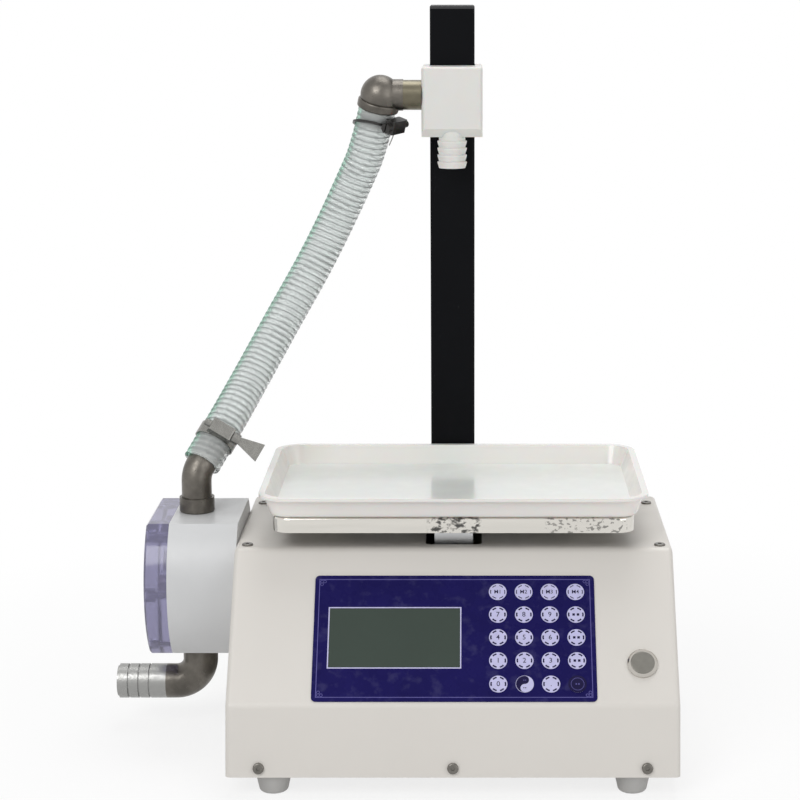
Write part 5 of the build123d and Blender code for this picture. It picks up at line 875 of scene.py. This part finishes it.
def make_clamps(colours):
    """The lower clamp is stainless and the upper one dark wire, one end of which hangs loose."""
    metal = finish("clamp_steel", colours.clamp, 0.28, metallic=1.0, mottle=0.1,
                   mottle_scale=160.0, uneven=0.06, stretch=(2, 2, 1))
    dark = finish("dark_clamp_wire", colours.wire, 0.36, metallic=0.8, mottle=0.15,
                  mottle_scale=260.0)
    pale = finish("pale_wire_end", colours.clamp, 0.3, metallic=1.0, mottle=0.1,
                  mottle_scale=260.0)
    dress(metal, "lower_clamp_band", "lower_clamp_screw")
    dress(dark, "upper_clamp_band", "upper_clamp_screw")
    low, high = (Vector(corner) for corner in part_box("upper_clamp_screw"))
    middle = (low + high) / 2
    drop = [middle + Vector(step) * MM for step in WIRE_END_ROUTE]
    end = Line(spline_points("wire_end_route", drop), (1, 0, 0))
    mesh = tube_mesh("clamp_wire_end", end, WIRE_END_SIDES, lambda travel, angle: WIRE_END_RADIUS)
    tail = new_piece("clamp_wire_end", mesh, pale)
    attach(tail, "carriage")


def finish_carriage(colours):
    block = finish("white_block", colours.block, 0.34, mottle=0.015, mottle_scale=28.0,
                   grain=0.00003, grain_scale=600.0, Subsurface_Weight=0.2, Subsurface_Scale=0.006)
    knob = finish("knob_plastic", colours.plastic, 0.4, mottle=0.1, mottle_scale=90.0)
    dress(block, "nozzle_block", "filling_nozzle")
    dress(knob, "lock_knob")


def finish_mast(colours):
    paint = finish("mast_black_paint", colours.mast, 0.42, mottle=0.08, mottle_scale=20.0,
                   grain=0.00004, grain_scale=900.0, Specular_IOR_Level=0.07)
    plug = finish("cap_plastic", colours.plastic, 0.45, mottle=0.1, mottle_scale=90.0)
    dress(paint, "mast")
    dress(plug, "mast_cap")


def finish_rear(colours):
    moulded = finish("socket_plastic", colours.plastic, 0.38, mottle=0.08, mottle_scale=120.0)
    rocker = finish("rocker_red", colours.red, 0.24, mottle=0.05, mottle_scale=120.0)
    dress(moulded, "power_inlet", "switch_frame", "button_nut")
    dress(rocker, "switch_rocker")


def finish_electronics(colours):
    mask = finish("board_mask", colours.board, 0.3, mottle=0.1, mottle_scale=300.0)
    case = finish("supply_case", colours.aluminium, 0.36, metallic=0.9, mottle=0.05,
                  mottle_scale=80.0)
    module = finish("display_module_plastic", colours.plastic, 0.5, mottle=0.08, mottle_scale=90.0)
    dress(mask, "control_board")
    dress(case, "power_supply")
    dress(module, "display_module")


def rays_that_look(tree):
    """1 for rays from the camera, off gloss and through clear walls, and 0 for the rest."""
    path = tree.nodes.new("ShaderNodeLightPath")
    either = path.outputs["Is Camera Ray"]
    for name in ("Is Glossy Ray", "Is Transmission Ray"):
        either = larger(tree, either, path.outputs[name])
    return either


def make_floor(stage):
    material = bpy.data.materials.new("pale_floor")
    material.use_nodes = True
    tree = material.node_tree
    tree.nodes.remove(tree.nodes["Principled BSDF"])
    plain = tree.nodes.new("ShaderNodeBsdfDiffuse")
    plain.inputs["Color"].default_value = (0.93, 0.93, 0.93, 1)
    glow = tree.nodes.new("ShaderNodeEmission")
    glow.inputs["Strength"].default_value = 1.0
    place = tree.nodes.new("ShaderNodeTexCoord")
    away = tree.nodes.new("ShaderNodeVectorMath")
    away.operation = "LENGTH"
    tree.links.new(place.outputs["Object"], away.inputs[0])
    veil = spread(tree, away.outputs["Value"], stage.veil, 1.0, stage.near, stage.far)
    mix = tree.nodes.new("ShaderNodeMixShader")
    tree.links.new(times(tree, rays_that_look(tree), veil), mix.inputs[0])
    tree.links.new(plain.outputs[0], mix.inputs[1])
    tree.links.new(glow.outputs[0], mix.inputs[2])
    tree.links.new(mix.outputs[0], tree.nodes["Material Output"].inputs["Surface"])
    shape = bmesh.new()
    bmesh.ops.create_grid(shape, x_segments=1, y_segments=1, size=stage.floor / 2)
    mesh = mesh_of(shape, "floor")
    mesh.materials.append(material)
    floor = bpy.data.objects.new("floor", mesh)
    bpy.context.scene.collection.objects.link(floor)


def add_lamp(name, place, side, power):
    lamp = bpy.data.lights.new(name, "AREA")
    lamp.size = side
    lamp.energy = power
    holder = bpy.data.objects.new(name, lamp)
    holder.location = place
    toward = Vector(LAMP_TARGET) - Vector(place)
    holder.rotation_euler = toward.to_track_quat("-Z", "Y").to_euler()
    bpy.context.scene.collection.objects.link(holder)


def make_stage(stage):
    make_floor(stage)
    for name, setting, place, side in LAMPS:
        add_lamp(name, place, side, getattr(stage, setting))
    world = bpy.data.worlds.new("room")
    world.use_nodes = True
    tree = world.node_tree
    ground = tree.nodes["Background"]
    ground.inputs["Color"].default_value = (1, 1, 1, 1)
    strength = spread(tree, rays_that_look(tree), stage.room, 1.0, 0.0, 1.0)
    tree.links.new(strength, ground.inputs["Strength"])
    bpy.context.scene.world = world
    bpy.context.scene.view_settings.view_transform = "Standard"


# Operators, one for each piece or group of like pieces


class FillerStep:
    """What the operators share: each names its maker and the settings that it takes."""

    settings = ("filler_colours",)

    def execute(self, context):
        self.maker(*[getattr(context.scene, name) for name in self.settings])
        return {"FINISHED"}


class FILLER_OT_camera(FillerStep, bpy.types.Operator):
    """Set the camera as the machine is seen"""
    bl_idname = "filler.camera"
    bl_label = "Camera"
    settings = ()
    maker = staticmethod(make_camera)


class FILLER_OT_hose(FillerStep, bpy.types.Operator):
    """Make the clear hose and the steel spiral in its wall"""
    bl_idname = "filler.hose"
    bl_label = "Hose"
    settings = ("filler_hose", "filler_colours")
    maker = staticmethod(make_hose)


class FILLER_OT_case(FillerStep, bpy.types.Operator):
    """Paint the sheet case"""
    bl_idname = "filler.case"
    bl_label = "Case"
    maker = staticmethod(finish_case)


class FILLER_OT_fixings(FillerStep, bpy.types.Operator):
    """Finish the screws, brackets and feet"""
    bl_idname = "filler.fixings"
    bl_label = "Screws and feet"
    maker = staticmethod(finish_fixings)


class FILLER_OT_panel(FillerStep, bpy.types.Operator):
    """Finish the membrane panel and print its lines and keys"""
    bl_idname = "filler.panel"
    bl_label = "Panel"
    settings = ("filler_print", "filler_colours")
    maker = staticmethod(make_panel)


class FILLER_OT_button(FillerStep, bpy.types.Operator):
    """Finish the push button"""
    bl_idname = "filler.button"
    bl_label = "Push button"
    maker = staticmethod(finish_button)


class FILLER_OT_scale(FillerStep, bpy.types.Operator):
    """Finish the tray, the platter and the load cell"""
    bl_idname = "filler.scale"
    bl_label = "Scale"
    maker = staticmethod(finish_scale)


class FILLER_OT_pump(FillerStep, bpy.types.Operator):
    """Finish the pump's body and cover"""
    bl_idname = "filler.pump"
    bl_label = "Pump"
    maker = staticmethod(finish_pump)


class FILLER_OT_drive(FillerStep, bpy.types.Operator):
    """Finish the gears, shafts and motor"""
    bl_idname = "filler.drive"
    bl_label = "Gears and motor"
    maker = staticmethod(finish_drive)


class FILLER_OT_fittings(FillerStep, bpy.types.Operator):
    """Finish the cast elbows and the nipple"""
    bl_idname = "filler.fittings"
    bl_label = "Pipe fittings"
    maker = staticmethod(finish_fittings)


class FILLER_OT_clamps(FillerStep, bpy.types.Operator):
    """Finish the two hose clamps"""
    bl_idname = "filler.clamps"
    bl_label = "Hose clamps"
    maker = staticmethod(make_clamps)


class FILLER_OT_carriage(FillerStep, bpy.types.Operator):
    """Finish the sliding block, its nozzle and its knob"""
    bl_idname = "filler.carriage"
    bl_label = "Nozzle block"
    maker = staticmethod(finish_carriage)


class FILLER_OT_mast(FillerStep, bpy.types.Operator):
    """Paint the mast"""
    bl_idname = "filler.mast"
    bl_label = "Mast"
    maker = staticmethod(finish_mast)


class FILLER_OT_rear(FillerStep, bpy.types.Operator):
    """Finish the mains socket and switch"""
    bl_idname = "filler.rear"
    bl_label = "Socket and switch"
    maker = staticmethod(finish_rear)


class FILLER_OT_electronics(FillerStep, bpy.types.Operator):
    """Finish the board, the power supply and the display module"""
    bl_idname = "filler.electronics"
    bl_label = "Electronics"
    maker = staticmethod(finish_electronics)


class FILLER_OT_stage(FillerStep, bpy.types.Operator):
    """Set the floor, the lamps and the room"""
    bl_idname = "filler.stage"
    bl_label = "Studio"
    settings = ("filler_stage",)
    maker = staticmethod(make_stage)


OPERATORS = (
    FILLER_OT_camera, FILLER_OT_hose, FILLER_OT_case, FILLER_OT_fixings, FILLER_OT_panel,
    FILLER_OT_button, FILLER_OT_scale, FILLER_OT_pump, FILLER_OT_drive, FILLER_OT_fittings,
    FILLER_OT_clamps, FILLER_OT_carriage, FILLER_OT_mast, FILLER_OT_rear, FILLER_OT_electronics,
    FILLER_OT_stage,
)
SETTINGS = {
    "filler_colours": FillerColours,
    "filler_hose": FillerHose,
    "filler_print": FillerPrint,
    "filler_stage": FillerStage,
}


class FILLER_PT_sidebar(bpy.types.Panel):
    """The steps that finish the machine, in their order"""
    bl_idname = "FILLER_PT_sidebar"
    bl_label = "Filling machine"
    bl_space_type = "VIEW_3D"
    bl_region_type = "UI"
    bl_category = "Filling"

    def draw(self, context):
        for operator in OPERATORS:
            self.layout.operator(operator.bl_idname)
        for name, group in SETTINGS.items():
            box = self.layout.box()
            for key in group.__annotations__:
                box.prop(getattr(context.scene, name), key)


def register():
    for group in SETTINGS.values():
        bpy.utils.register_class(group)
    for name, group in SETTINGS.items():
        setattr(bpy.types.Scene, name, bpy.props.PointerProperty(type=group))
    for operator in OPERATORS:
        bpy.utils.register_class(operator)
    bpy.utils.register_class(FILLER_PT_sidebar)


def unregister():
    bpy.utils.unregister_class(FILLER_PT_sidebar)
    for operator in reversed(OPERATORS):
        bpy.utils.unregister_class(operator)
    for name, group in SETTINGS.items():
        delattr(bpy.types.Scene, name)
        bpy.utils.unregister_class(group)


def main():
    register()
    bpy.ops.filler.camera()
    bpy.ops.filler.hose()
    bpy.ops.filler.case()
    bpy.ops.filler.fixings()
    bpy.ops.filler.panel()
    bpy.ops.filler.button()
    bpy.ops.filler.scale()
    bpy.ops.filler.pump()
    bpy.ops.filler.drive()
    bpy.ops.filler.fittings()
    bpy.ops.filler.clamps()
    bpy.ops.filler.carriage()
    bpy.ops.filler.mast()
    bpy.ops.filler.rear()
    bpy.ops.filler.electronics()
    bpy.ops.filler.stage()


if __name__ == "__main__":
    main()
